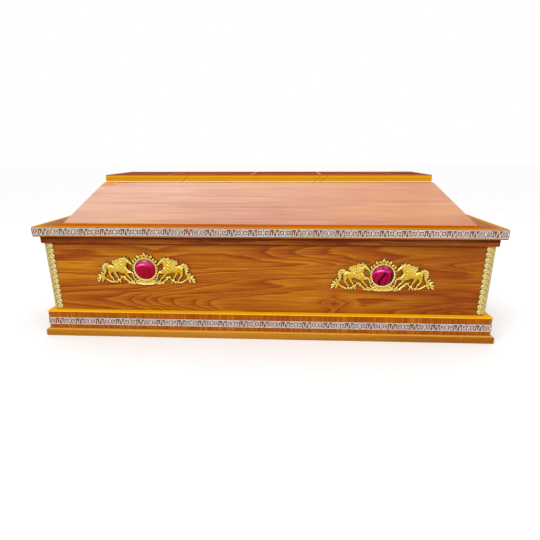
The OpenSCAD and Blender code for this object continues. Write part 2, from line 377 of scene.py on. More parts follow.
def shared_effect(
    name: str,
    inputs: Sequence[tuple[str, str, float]],
    outputs: Sequence[tuple[str, str]],
) -> tuple[Graph, bpy.types.Node, bpy.types.Node]:
    """Makes an empty shader node group with named sockets.

    Args:
        name: The group's name.
        inputs: Name, kind (Float, Vector or Color) and first value of each input.
        outputs: Name and kind of each output.

    Returns:
        The group's graph, its input node and its output node.
    """
    tree = bpy.data.node_groups.new(name, "ShaderNodeTree")
    for label, kind, value in inputs:
        made = tree.interface.new_socket(name=label, in_out="INPUT", socket_type=f"NodeSocket{kind}")
        if kind == "Float":
            made.default_value = value
    for label, kind in outputs:
        tree.interface.new_socket(name=label, in_out="OUTPUT", socket_type=f"NodeSocket{kind}")
    graph = Graph(tree)
    return graph, graph.node("NodeGroupInput"), graph.node("NodeGroupOutput")


class Effects:
    """The node groups that several finishes share."""

    GRAIN = "sawn_grain"
    WORN = "worn_arris"
    SCUFF = "fine_scuffs"
    KNOT = "knot_figure"
    ARCH = "arch_figure"
    MARK_INPUTS = (("Place", "Vector", 0.0), ("Amount", "Float", 0.5))
    FIGURE_INPUTS = (
        ("Grain", "Vector", 0.0),
        ("Centre Along", "Float", 0.0),
        ("Centre Across", "Float", 0.0),
        ("Length", "Float", 0.1),
        ("Width", "Float", 0.04),
        ("Strength", "Float", 0.3),
    )

    def build(self) -> None:
        """Makes every group once."""
        self.grain()
        self.worn_arris()
        self.scuffs()
        self.knot()
        self.arch()

    def grain(self) -> None:
        """Ring lines that arch along a board, with fibres, pores and broad clouds."""
        g, given, out = shared_effect(
            self.GRAIN,
            [
                ("Grain", "Vector", 0.0),
                ("Along", "Float", 1.2),
                ("Across", "Float", 6.0),
                ("Rings", "Float", 10.0),
                ("Sharpness", "Float", 1.6),
                ("Fibre Along", "Float", 14.0),
                ("Fibre Across", "Float", 420.0),
                ("Figure", "Float", 0.0),
                ("Seed", "Float", 0.0),
            ],
            [("Bands", "Float"), ("Fibre", "Float"), ("Cloud", "Float"), ("Pores", "Float")],
        )
        along, across, through = g.split(given.outputs["Grain"])
        far = g.times(along, given.outputs["Along"])
        wide = g.times(across, given.outputs["Across"])
        deep = g.plus(g.times(through, 2.0), given.outputs["Seed"])
        broad = g.noise(g.join(far, wide, deep), 1.0, 1.5, 0.4)
        sway_at = g.join(g.times(far, 3.0), g.times(wide, 2.5), deep)
        sway = g.times(g.minus(g.noise(sway_at, 1.0, 3.0, 0.55), 0.5), 0.16)
        field_value = g.plus(g.plus(broad, sway), given.outputs["Figure"])
        saw = g.maths("FRACT", g.times(field_value, given.outputs["Rings"]))
        late = g.times(g.maths("POWER", saw, given.outputs["Sharpness"]), g.spread(saw, 1.0, 0.86))
        early = g.times(g.maths("POWER", g.minus(1.0, saw), 6.0), g.spread(saw, 0.0, 0.06))
        g.feed(out.inputs["Bands"], g.minus(late, g.times(early, 0.5)))
        fine_far = g.times(along, given.outputs["Fibre Along"])
        fine_wide = g.times(across, given.outputs["Fibre Across"])
        fibre_at = g.join(fine_far, g.plus(fine_wide, g.times(sway, 14.0)), deep)
        g.feed(out.inputs["Fibre"], g.noise(fibre_at, 1.0, 3.0, 0.65))
        cloud_at = g.join(g.times(along, 1.6), g.times(across, 9.0), deep)
        g.feed(out.inputs["Cloud"], g.noise(cloud_at, 1.0, 2.0, 0.5))
        pore_at = g.join(g.times(along, 60.0), g.times(across, 900.0), deep)
        g.feed(out.inputs["Pores"], g.spread(g.noise(pore_at, 1.0, 1.0, 0.5), 0.62, 0.72))

    def worn_arris(self) -> None:
        """Where the lacquer has rubbed thin along an eased edge."""
        g, given, out = shared_effect(self.WORN, self.MARK_INPUTS, [("Wear", "Float")])
        arris = g.node("ShaderNodeAttribute", attribute_name="arris").outputs["Fac"]
        patchy = g.spread(g.noise(given.outputs["Place"], 34.0, 3.0, 0.6), 0.35, 0.75, (0.35, 1.0))
        worn = g.times(g.times(arris, patchy), given.outputs["Amount"], clamp=True)
        g.feed(out.inputs["Wear"], worn)

    def scuffs(self) -> None:
        """Small pale rubs and specks, thinly scattered."""
        outputs = [("Mark", "Float"), ("Smear", "Float")]
        g, given, out = shared_effect(self.SCUFF, self.MARK_INPUTS, outputs)
        where = g.spread(g.noise(given.outputs["Place"], 6.0, 1.0, 0.5), 0.52, 0.66)
        speck = g.spread(g.noise(given.outputs["Place"], 95.0, 2.0, 0.5), 0.66, 0.74)
        mark = g.times(g.times(where, speck), given.outputs["Amount"], clamp=True)
        g.feed(out.inputs["Mark"], mark)
        g.feed(out.inputs["Smear"], g.noise(given.outputs["Place"], 11.0, 3.0, 0.55))

    def knot(self) -> None:
        """A hill in the ring field, which the ring lines run round."""
        g, given, out = shared_effect(self.KNOT, self.FIGURE_INPUTS, [("Figure", "Float")])
        far, wide = self.from_centre(g, given)
        pointed = g.plus(g.maths("ABSOLUTE", far), g.maths("ABSOLUTE", wide))
        hill = g.maths("EXPONENT", g.times(g.plus(g.reach(far, wide), pointed), -0.45))
        g.feed(out.inputs["Figure"], g.times(hill, given.outputs["Strength"]))

    def arch(self) -> None:
        """A tongue in the ring field, which the ring lines run round as nested arches."""
        g, given, out = shared_effect(self.ARCH, self.FIGURE_INPUTS, [("Figure", "Float")])
        far, wide = self.from_centre(g, given)
        outside = g.maths("EXPONENT", g.minus(g.times(wide, wide), far))
        g.feed(out.inputs["Figure"], g.maths("DIVIDE", given.outputs["Strength"], g.plus(outside, 1.0)))

    def from_centre(self, g: Graph, given: bpy.types.Node) -> tuple[Socket, Socket]:
        """How far a place is from a figure's centre, in the figure's lengths and widths.

        Args:
            g: The group's graph.
            given: The group's input node.

        Returns:
            The distance along the grain and the one across it.
        """
        along, across, _ = g.split(given.outputs["Grain"])
        far = g.maths("DIVIDE", g.minus(along, given.outputs["Centre Along"]), given.outputs["Length"])
        wide = g.maths("DIVIDE", g.minus(across, given.outputs["Centre Across"]), given.outputs["Width"])
        return far, wide


# ---------------------------------------------------------------- finishes


@dataclass(frozen=True)
class Knot:
    """A knot in a veneer, which the ring lines close round.

    Attributes:
        along: Its place along the grain, in metres.
        across: Its place across the grain, in metres.
        length: How far it draws the rings along the grain.
        width: How far it draws them across the grain.
        strength: How many rings' worth it lifts the field.
    """

    effect = Effects.KNOT

    along: float
    across: float
    length: float
    width: float
    strength: float


@dataclass(frozen=True)
class Arch(Knot):
    """A cathedral arch in a veneer, with its tip towards the head end."""

    effect = Effects.ARCH


@dataclass(frozen=True)
class Timber:
    """A lacquered veneer or stained timber.

    Attributes:
        name: The finish's name.
        dark: Paint code of the late wood.
        mid: Paint code of the body colour.
        light: Paint code of the early wood.
        along: Frequency of the figure along the grain, per metre.
        across: Frequency of the figure across the grain, per metre.
        rings: How many ring lines the figure has.
        ring_depth: How dark the ring lines are.
        sharpness: How thin the ring lines are.
        fibre_along: Frequency of the fibres along the grain, per metre.
        fibre_across: Frequency of the fibres across the grain, per metre.
        fibre_depth: How strong the fibres are.
        cloud_depth: How strong the broad variation is.
        roughness: Roughness of the lacquer.
        lustre: Specular level of the lacquer.
        coat: Weight of the clear coat.
        wear: How worn the arrises are.
        scuffed: How many pale specks there are.
        relief: Height of the grain under the lacquer, in metres.
        seed: Which part of the log it is cut from.
        knots: Its knots.
        arches: Its cathedral arches.
        gain: What the colours are multiplied by.
        overlay: Paints marks of its own over the colour, with painted shade and highlights for some timbers,
            where it has any.
    """

    name: str
    dark: str
    mid: str
    light: str
    along: float = 1.1
    across: float = 7.0
    rings: float = 9.0
    ring_depth: float = 0.6
    sharpness: float = 1.6
    fibre_along: float = 14.0
    fibre_across: float = 420.0
    fibre_depth: float = 0.25
    cloud_depth: float = 0.5
    roughness: float = 0.32
    lustre: float = 0.3
    coat: float = 0.0
    wear: float = 0.5
    scuffed: float = 0.2
    relief: float = 0.0001
    seed: float = 0.0
    knots: tuple[Knot, ...] = ()
    arches: tuple[Arch, ...] = ()
    gain: float = 1.0
    overlay: Callable[[Overlay], None] | None = None

    def dress(self, lie: Lie) -> bpy.types.Material:
        """The finish with its grain lying one way, made once.

        Args:
            lie: Which way the grain runs.

        Returns:
            The material.
        """
        label = f"{self.name}_{lie.name.lower()}"
        if label in bpy.data.materials:
            return bpy.data.materials[label]
        made, g, surface = blank_material(label)
        place = g.place()
        grain = self.grain_vector(g, place, lie)
        veneer = g.effect(
            Effects.GRAIN,
            Grain=grain,
            Along=self.along,
            Across=self.across,
            Rings=self.rings,
            Sharpness=self.sharpness,
            Fibre_Along=self.fibre_along,
            Fibre_Across=self.fibre_across,
            Figure=self.figure(g, grain),
            Seed=self.seed,
        )
        lift = g.times(g.minus(veneer.outputs["Cloud"], 0.5), 2.2 * self.cloud_depth)
        fibre = g.times(g.minus(veneer.outputs["Fibre"], 0.5), 2.0 * self.fibre_depth)
        sink = g.times(veneer.outputs["Bands"], -self.ring_depth)
        sums = g.plus(g.plus(lift, fibre), g.plus(sink, 0.5 + 0.3 * self.ring_depth))
        paints = (self.dark, self.mid, self.light)
        stops = [(place_on, shade(paint, self.gain)) for place_on, paint in zip((0.0, 0.5, 1.0), paints)]
        colour = g.ramp(sums, stops)
        pore_depth = g.times(veneer.outputs["Pores"], 0.35 * self.fibre_depth)
        colour = g.blend(pore_depth, colour, shade(self.dark, 0.6 * self.gain))
        if self.overlay is not None:
            over = Overlay(g, place, colour)
            self.overlay(over)
            colour = over.colour
        wear = g.effect(Effects.WORN, Place=place, Amount=self.wear).outputs["Wear"]
        colour = g.blend(wear, colour, shade(self.light, 1.25 * self.gain))
        marks = g.effect(Effects.SCUFF, Place=place, Amount=self.scuffed)
        colour = g.blend(marks.outputs["Mark"], colour, shade("f0d8a8", self.gain))
        g.feed(surface.inputs["Base Color"], colour)
        rough = g.spread(marks.outputs["Smear"], 0.3, 0.75, (self.roughness * 0.85, self.roughness * 1.2))
        rough = g.plus(rough, g.times(wear, 0.2), clamp=True)
        g.feed(surface.inputs["Roughness"], rough)
        surface.inputs["Specular IOR Level"].default_value = self.lustre
        surface.inputs["Coat Weight"].default_value = self.coat
        surface.inputs["Coat Roughness"].default_value = 0.12
        height = g.minus(veneer.outputs["Fibre"], g.times(veneer.outputs["Pores"], 0.8))
        g.bump(surface, 0.5, self.relief, height)
        return made

    def grain_vector(self, g: Graph, place: Socket, lie: Lie) -> Socket:
        """The place as along, across and through the grain.

        Args:
            g: The graph to add to.
            place: The place on the object.
            lie: Which way the grain runs.

        Returns:
            The vector.
        """
        axes = dict(zip("XYZ", g.split(place)))
        parts = [axes[letter] for letter in lie.value]
        if lie is Lie.STANDING:
            parts[1] = g.plus(axes["X"], axes["Y"])
        return g.join(*parts)

    def figure(self, g: Graph, grain: Socket) -> Socket | float:
        """The sum of what the knots and the arches add to the ring field.

        Args:
            g: The graph to add to.
            grain: The place along, across and through the grain.

        Returns:
            The sum, or zero for a timber with neither.
        """
        total: Socket | float = 0.0
        along, across, through = g.split(grain)
        wobble_at = g.join(g.times(along, 10.0), g.times(across, 24.0), through)
        wobble = g.minus(g.noise(wobble_at, 1.0, 2.0, 0.5), 0.5)
        bent = g.join(
            g.maths("MULTIPLY_ADD", wobble, 0.07, along),
            g.maths("MULTIPLY_ADD", wobble, 0.022, across),
            through,
        )
        for knot in self.knots + self.arches:
            hill = g.effect(
                knot.effect,
                Grain=bent,
                Centre_Along=knot.along,
                Centre_Across=knot.across,
                Length=knot.length,
                Width=knot.width,
                Strength=knot.strength,
            ).outputs["Figure"]
            total = g.plus(total, hill)
        return total


@dataclass(frozen=True)
class Gilt:
    """Bright gilt on a cast or stamped relief, darker in its hollows with patina and painted shade, and with
    painted highlights on its ridges.

    Attributes:
        name: The finish's name.
        deep: Paint code in the hollows, of patina and painted shade.
        mid: Paint code of the gilt.
        high: Paint code of the painted highlights on the ridges.
        roughness: Roughness of the gilt.
        metal: How metallic it is.
        coat: Weight of its clear lacquer.
    """

    name: str
    deep: str
    mid: str
    high: str
    roughness: float = 0.3
    metal: float = 0.12
    coat: float = 0.4

    def dress(self) -> bpy.types.Material:
        """The finish, made once.

        Returns:
            The material.
        """
        if self.name in bpy.data.materials:
            return bpy.data.materials[self.name]
        made, g, surface = blank_material(self.name)
        place = g.place()
        relief = g.node("ShaderNodeAttribute", attribute_name="relief").outputs["Fac"]
        mottle = g.times(g.minus(g.noise(place, 130.0, 3.0, 0.6), 0.5), 0.35)
        level = g.plus(relief, mottle, clamp=True)
        # the ramp paints patina and shade into the hollows and highlights onto the ridges, following the
        # relief attribute
        paints = ((0.12, self.deep), (0.44, self.mid), (0.54, self.mid), (0.74, self.high))
        stops = [(place_on, shade(paint)) for place_on, paint in paints]
        g.feed(surface.inputs["Base Color"], g.ramp(level, stops))
        worn_to = (self.roughness * 0.8, self.roughness * 1.3)
        rough = g.spread(g.noise(place, 60.0, 3.0, 0.6), 0.3, 0.7, worn_to)
        g.feed(surface.inputs["Roughness"], rough)
        surface.inputs["Metallic"].default_value = self.metal
        surface.inputs["Coat Weight"].default_value = self.coat
        surface.inputs["Coat Roughness"].default_value = 0.15
        g.bump(surface, 0.35, 0.0006, g.noise(place, 420.0, 3.0, 0.6))
        return made


@dataclass(frozen=True)
class Shell:
    """Pearly strokes of a fret band, with a faint play of colour.

    Attributes:
        name: The finish's name.
        body: Paint codes from dull to bright.
    """

    name: str
    body: tuple[str, ...] = ("aca6a4", "d0c0c4", "e2e2e0", "c0dadc", "ffffff")

    def dress(self) -> bpy.types.Material:
        """The finish, made once.

        Returns:
            The material.
        """
        if self.name in bpy.data.materials:
            return bpy.data.materials[self.name]
        made, g, surface = blank_material(self.name)
        place = g.place()
        play = g.noise(place, 75.0, 4.0, 0.7)
        spacing = 1.0 / (len(self.body) - 1)
        stops = [(0.28 + 0.46 * spacing * i, shade(code)) for i, code in enumerate(self.body)]
        g.feed(surface.inputs["Base Color"], g.ramp(play, stops))
        rough = g.spread(g.noise(place, 40.0, 2.0, 0.5), 0.3, 0.7, (0.16, 0.38))
        g.feed(surface.inputs["Roughness"], rough)
        g.bump(surface, 0.4, 0.0004, g.noise(place, 260.0, 2.0, 0.5))
        return made


@dataclass(frozen=True)
class Fold:
    """One dark band of painted reflection in a stone, shaped like a fold of its foil, which winds up and down
    it.

    Attributes:
        at: How far right of the stone's middle it is, in metres.
        sway: How far it winds to each side.
        pace: How fast it winds, in radians to the metre.
        turn: Where in its winding it is at the stone's middle, in radians.
        half: Half its width.
        depth: How dark it is.
    """

    at: float
    sway: float
    pace: float
    turn: float
    half: float
    depth: float


@dataclass(frozen=True)
class Ruby:
    """A domed red stone with a foil, painted with reflections and shade: dark winding bands, a pale crescent
    and bright highlights near the top, and a darker rim.

    Attributes:
        name: The finish's name.
        body: Paint code of the stone.
        fold: Paint code of the dark bands of painted reflection, and of the painted shade at the rim.
        flare: Paint code of the painted highlight, a bright band near the top.
        crown: Paint code of the painted reflection, a paler crescent over that band.
        folds: The dark bands of painted reflection.
    """

    name: str
    body: str
    fold: str
    flare: str
    crown: str
    folds: tuple[Fold, ...]

    # where each painted reflection and highlight on the dome, and the painted shade at its rim, starts and
    # where it is whole, in metres
    CROWN_AT = (0.031, 0.036)
    FLARE_LOW = (0.020, 0.025)
    FLARE_HIGH = (0.037, 0.031)
    FLARE_RIGHT = (0.042, 0.020)
    GLEAM_LOW = (0.024, 0.028)
    GLEAM_HIGH = (0.034, 0.030)
    GLEAM_LEFT = (-0.034, -0.024)
    GLEAM_RIGHT = (0.006, -0.010)
    RIM_AT = (0.045, 0.0515)
    # paint code of the painted highlight's pale core
    GLEAM = "f8a0d8"

    def dress(self) -> bpy.types.Material:
        """The finish, made once.

        Returns:
            The material.
        """
        if self.name in bpy.data.materials:
            return bpy.data.materials[self.name]
        made, g, surface = blank_material(self.name)
        place = g.place()
        x, y, _ = g.split(place)
        bend = g.times(g.minus(g.noise(place, 26.0, 1.0, 0.4), 0.5), 0.012)
        cloud = g.spread(g.noise(place, 34.0, 2.0, 0.5), 0.3, 0.7, (0.0, 0.35))
        colour = g.blend(cloud, shade(self.body), shade(self.body, 0.6))
        # painted reflections: dark bands that wind up and down the stone
        dark: Socket | float = 0.0
        for fold in self.folds:
            winding = g.maths("SINE", g.maths("MULTIPLY_ADD", y, fold.pace, fold.turn))
            middle = g.plus(g.maths("MULTIPLY_ADD", winding, fold.sway, fold.at), bend)
            gap = g.maths("ABSOLUTE", g.minus(x, middle))
            mask = g.times(g.spread(gap, fold.half, fold.half * 0.3), fold.depth)
            dark = g.maths("MAXIMUM", dark, mask)
        colour = g.blend(dark, colour, shade(self.fold))
        arch = g.plus(g.plus(y, g.times(g.times(x, x), 8.0)), bend)
        # painted reflection: a paler crescent over the top
        colour = g.tint(colour, arch, *self.CROWN_AT, self.crown, 0.8)
        # painted highlight: a bright band near the top, paler at its core
        glow = g.times(g.spread(arch, *self.FLARE_LOW), g.spread(arch, *self.FLARE_HIGH))
        colour = g.blend(g.times(glow, g.spread(x, *self.FLARE_RIGHT)), colour, shade(self.flare))
        gleam = g.times(g.spread(arch, *self.GLEAM_LOW), g.spread(arch, *self.GLEAM_HIGH))
        ends = g.times(g.spread(x, *self.GLEAM_LEFT), g.spread(x, *self.GLEAM_RIGHT))
        colour = g.blend(g.times(g.times(gleam, ends), 0.6), colour, shade(self.GLEAM))
        # painted shade round the stone's rim
        colour = g.tint(colour, g.reach(x, y), *self.RIM_AT, self.fold, 0.5)
        g.feed(surface.inputs["Base Color"], colour)
        rough = g.spread(g.noise(place, 30.0, 2.0, 0.5), 0.3, 0.7, (0.10, 0.18))
        g.feed(surface.inputs["Roughness"], rough)
        surface.inputs["Specular IOR Level"].default_value = 0.22
        surface.inputs["Coat Weight"].default_value = 0.12
        surface.inputs["Coat Roughness"].default_value = 0.05
        g.bump(surface, 0.15, 0.001, cloud)
        return made


def blank_material(name: str) -> tuple[bpy.types.Material, Graph, bpy.types.Node]:
    """A new material with one Principled BSDF.

    Args:
        name: The material's name.

    Returns:
        The material, its graph and its shader node.
    """
    made = bpy.data.materials.new(name)
    made.use_nodes = True
    made.node_tree.nodes.clear()
    g = Graph(made.node_tree)
    surface = g.node("ShaderNodeBsdfPrincipled")
    ending = g.node("ShaderNodeOutputMaterial")
    g.feed(ending.inputs["Surface"], surface.outputs[0])
    return made, g, surface


# ---------------------------------------------------------------- overlays on timber


class Overlay:
    """Marks of its own that a timber has over its colour, and the painted shade and highlights of some
    timbers, at their places on the object.
    """

    SEAMS = ((-0.475, 0.35), (-0.07, 0.5), (0.265, 0.6), (0.61, 0.18))
    SCARFS = (-1.239, -0.593, -0.561)
    STREAKS = (
        (0.0, "c98a78", 0.58, 0.68, 0.34),
        (5.0, "e4b068", 0.60, 0.72, 0.30),
        (9.0, "f4d2b4", 0.60, 0.72, 0.30),
    )

    def __init__(self, g: Graph, place: Socket, colour: Socket) -> None:
        """Takes what the marks are made with.

        Args:
            g: The graph to add to.
            place: The place on the object.
            colour: The timber's colour.
        """
        self.g = g
        self.colour = colour
        self.x, self.y, self.z = g.split(place)

    def tint(self, value: Socket, low: float, high: float, code: str, weight: float = 1.0) -> None:
        """Lays a paint over the colour as a value goes from low to high.

        Args:
            value: What the paint follows.
            low: Where the paint starts.
            high: Where it is whole.
            code: The paint code.
            weight: How much of the paint is laid.
        """
        self.colour = self.g.tint(self.colour, value, low, high, code, weight)

    def line(self, value: Socket, at: float, half: float, code: str, weight: float) -> None:
        """Draws a line with soft sides where a value is near a place.

        Args:
            value: The value.
            at: The place.
            half: Half the line's width.
            code: The line's paint code.
            weight: How much of the paint is laid.
        """
        gap = self.g.maths("ABSOLUTE", self.g.minus(value, at))
        self.tint(gap, half, half * 0.5, code, weight)

    def cap_seams(self) -> None:
        """Thin pale seams where the cap board's veneer leaves meet."""
        for at, weight in self.SEAMS:
            self.line(self.x, at, 0.006, "d8b090", weight)

    def rim_face(self) -> None:
        """Leaves the amber on the rim's top and stains its upright face brown."""
        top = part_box("lid_rim_front")[1].z
        self.tint(self.z, top - 0.0006, top - 0.0016, "9c5a22")

    def foot_bands(self) -> None:
        """Paints a highlight on the rounded top of the foot moulding, where light from above falls, and
        deepens its foot end.
        """
        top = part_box("foot_moulding_front")[1].z
        self.tint(self.x, 0.3, 1.0, "8c4c08", 0.8)
        # painted highlight along the moulding's top
        self.tint(self.z, top - 0.0045, top - 0.0015, "d0902c")

    def cap_edge_bands(self) -> None:
        """Paints highlights on the bead and on the upper arris of the cap's edge, lays an amber line at its
        foot and a brown band at its top, and draws its scarf joints.
        """
        low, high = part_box("cap_edge_front")
        # painted highlight along the bead
        self.tint(self.z, low.z + 0.0080, low.z + 0.0062, "f2c078")
        self.tint(self.z, low.z + 0.0022, low.z + 0.0012, "c98a1a")
        # painted highlight along the upper arris
        self.tint(self.z, high.z - 0.011, high.z - 0.007, "cc9418")
        slant = self.g.minus(self.x, self.g.times(self.z, 1.1))
        for at in self.SCARFS:
            self.line(slant, at, 0.0022, "7a4a10", 0.75)
        self.tint(self.z, high.z - 0.0042, high.z - 0.0034, "8c4412")

    def chest_tone(self) -> None:
        """Deepens the chest's foot end, paints shade under its cornice with a dark painted shadow line along
        it, darkens the chest towards the bottom and deepens the heart of its first knot.
        """
        g = self.g
        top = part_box("cornice_front")[0].z
        self.tint(self.x, 0.30, 0.95, "702604", 0.36)
        # painted shade under the cornice's overhang, darker towards it
        self.tint(self.z, top - 0.08, top, "6a2c06", 0.36)
        self.tint(self.z, 0.26, 0.15, "6a2c06", 0.16)
        heart = CHEST.knots[0]
        far = g.maths("ABSOLUTE", g.maths("DIVIDE", g.minus(self.x, heart.along), 1.6))
        reach = g.plus(far, g.maths("ABSOLUTE", g.minus(self.z, heart.across)))
        self.tint(reach, 0.024, 0.004, "6a2404", 0.55)
        # painted shadow: a dark line just under the cornice
        self.tint(self.z, top - 0.009, top - 0.002, "3c1204", 0.75)

    def cornice_tone(self) -> None:
        """Paints the shadow that the lid's rim casts on the cornice, deepening it towards the lid."""
        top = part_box("cornice_front")[1].z
        # painted shadow of the rim
        self.tint(self.z, top - 0.022, top - 0.004, "2c0804", 0.7)

    def slope_tone(self) -> None:
        """Warms the slopes towards the foot end, and adds their streaks, their stain and filled nails."""
        g, x, y, z = self.g, self.x, self.y, self.z
        straw = g.blend(1.0, self.colour, shade("f4dfcc"), "MULTIPLY")
        self.colour = g.blend(g.spread(x, -0.9, 1.0), self.colour, straw)
        sway = g.times(g.noise(g.join(x, y, z), 0.8, 1.0, 0.5), 0.03)
        streak_at = g.join(g.times(x, 1.6), g.times(y, 1.6), g.plus(z, sway))
        for turn, code, low, high, weight in self.STREAKS:
            spot = g.node("ShaderNodeVectorMath", operation="MULTIPLY_ADD")
            g.feed(spot.inputs[0], streak_at)
            spot.inputs[1].default_value = (1.0, 1.0, 62.0)
            spot.inputs[2].default_value = (turn, turn, turn)
            mask = g.spread(g.noise(spot.outputs[0], 1.0, 1.5, 0.5), low, high)
            self.colour = g.blend(g.times(mask, weight), self.colour, shade(code, 0.8))
        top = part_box("lid_slope_front")[1].z
        lowest = g.plus(g.spread(x, -0.62, -0.80, (top - 0.004, top - 0.022)), g.times(sway, 0.2))
        torn = g.spread(g.noise(g.join(x, y, z), 60.0, 2.0, 0.6), 0.42, 0.52)
        stain = g.times(g.spread(g.minus(z, lowest), 0.0, 0.006), g.spread(x, -0.60, -0.64))
        stain = g.times(g.times(stain, g.spread(y, -0.150, -0.172)), torn)
        self.colour = g.blend(g.times(stain, 0.85), self.colour, shade("e08a20", 0.85))
        cells = g.node("ShaderNodeTexVoronoi")
        g.feed(cells.inputs["Vector"], g.join(x, g.times(z, 2.0), g.times(y, 0.2)))
        cells.inputs["Scale"].default_value = 5.0
        self.tint(cells.outputs["Distance"], 0.020, 0.012, "9a6a44", 0.7)


# ---------------------------------------------------------------- meshes


def put(name: str, data: bpy.types.ID) -> bpy.types.Object:
    """Puts new data in the scene as an object.

    Args:
        name: The object's name.
        data: A mesh, a lamp or a camera.

    Returns:
        The object.
    """
    made = bpy.data.objects.new(name, data)
    bpy.context.scene.collection.objects.link(made)
    return made


def settle(work: bmesh.types.BMesh, name: str, *finishes: bpy.types.Material) -> bpy.types.Mesh:
    """Turns worked geometry into a mesh with its finishes, and frees it.

    Args:
        work: The worked geometry.
        name: The mesh's name.
        *finishes: Its materials, in order.

    Returns:
        The mesh.
    """
    mesh = bpy.data.meshes.new(name)
    work.to_mesh(mesh)
    work.free()
    for finish in finishes:
        mesh.materials.append(finish)
    return mesh


def keep(mesh: bpy.types.Mesh, name: str, nodes: Sequence[str]) -> bpy.types.Object:
    """Puts a finished mesh in the scene as a piece that stands for CAD nodes.

    Args:
        mesh: The piece's mesh.
        name: The piece's name.
        nodes: The CAD nodes it stands for.

    Returns:
        The new object.
    """
    made = put(name, mesh)
    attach(made, "root")
    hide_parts(*nodes)
    return made


def soften(mesh: bpy.types.Mesh, degrees: float) -> None:
    """Shades a mesh smooth except across edges sharper than an angle."""
    mesh.polygons.foreach_set("use_smooth", [True] * len(mesh.polygons))
    mesh.set_sharp_from_angle(angle=math.radians(degrees))


def triangles(made: bpy.types.Object) -> int:
    """How many triangles a piece's mesh has."""
    return sum(len(face.vertices) - 2 for face in made.data.polygons)


@dataclass(frozen=True)
class Joinery:
    """How a CAD solid is planed into a finished board.

    Attributes:
        arris: Radius that its edges are eased to, in metres.
        steps: Segments across an eased edge.
        sharp: Edges flatter than this are left, in degrees.
    """

    arris: float = 0.0012
    steps: int = 2
    sharp: float = 25.0

    def plane(
        self,
        node: str,
        slot: str,
        face: bpy.types.Material,
        hidden: bpy.types.Material,
        is_hidden: Callable[[Vector], bool],
    ) -> bpy.types.Object:
        """Copies a CAD solid into a new board with eased arrises.

        Args:
            node: The CAD node to copy and stand for.
            slot: The record's material slot; not used.
            face: The finish of the faces that show.
            hidden: The finish of the faces that don't.
            is_hidden: Says from a face's normal whether it is one that doesn't.

        Returns:
            The board.
        """
        work = bmesh.new()
        work.from_mesh(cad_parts[node].data)
        bmesh.ops.remove_doubles(work, verts=work.verts[:], dist=SAME_POINT)
        flat = math.radians(FLAT_ENOUGH)
        bmesh.ops.dissolve_limit(work, angle_limit=flat, verts=work.verts[:], edges=work.edges[:])
        for item in work.faces:
            item.material_index = int(is_hidden(item.normal))
        arris = work.faces.layers.float.new("arris")
        edges = [e for e in work.edges if e.is_manifold and e.calc_face_angle() > math.radians(self.sharp)]
        eased = bmesh.ops.bevel(
            work,
            geom=edges,
            offset=self.arris,
            segments=self.steps,
            profile=0.5,
            affect="EDGES",
            clamp_overlap=True,
            material=-1,
        )
        for item in eased["faces"]:
            item[arris] = 1.0
        work.normal_update()
        mesh = settle(work, f"{node}_board", face, hidden)
        soften(mesh, SMOOTH_BOARD)
        return keep(mesh, f"{node}-board", [node])


RAW = Timber(
    "raw_board",
    "a98a5c",
    "c4a878",
    "d8c094",
    rings=7.0,
    ring_depth=0.25,
    roughness=0.75,
    lustre=0.2,
    wear=0.2,
)


def inward(side: Side) -> Callable[[Vector], bool]:
    """Says which faces of a ring's member look into the coffin or down.

    Args:
        side: The side that the member is on.

    Returns:
        The test of a face's normal.
    """

    def test(normal: Vector) -> bool:
        """True for a face that looks in or down."""
        return normal.dot(side.outward) < FACES_IN or normal.z < FACES_DOWN

    return test


@dataclass
class MitredRing:
    """Four boards of one profile, mitred at the corners.

    Attributes:
        node: The start of the CAD nodes' names.
        slot: The record's material slot.
        finish: The timber.
        lies: Which way the grain runs in the long and in the short members.
        joinery: How the edges are eased.
        ends: The finish of the short members, where it differs.
    """

    node: str
    slot: str
    finish: Timber
    lies: tuple[Lie, Lie]
    joinery: Joinery = field(default_factory=Joinery)
    ends: Timber | None = None

    def build(self) -> list[bpy.types.Object]:
        """Makes the four members.

        Returns:
            The members, front, back, head and foot.
        """
        made = []
        for side in Side:
            lie = side.pick(self.lies)
            face = side.pick((self.finish, self.ends or self.finish)).dress(lie)
            node = f"{self.node}_{side.value}"
            made.append(self.joinery.plane(node, self.slot, face, RAW.dress(lie), inward(side)))
        return made


# ---------------------------------------------------------------- fret bands


Path = Sequence[tuple[float, float]]


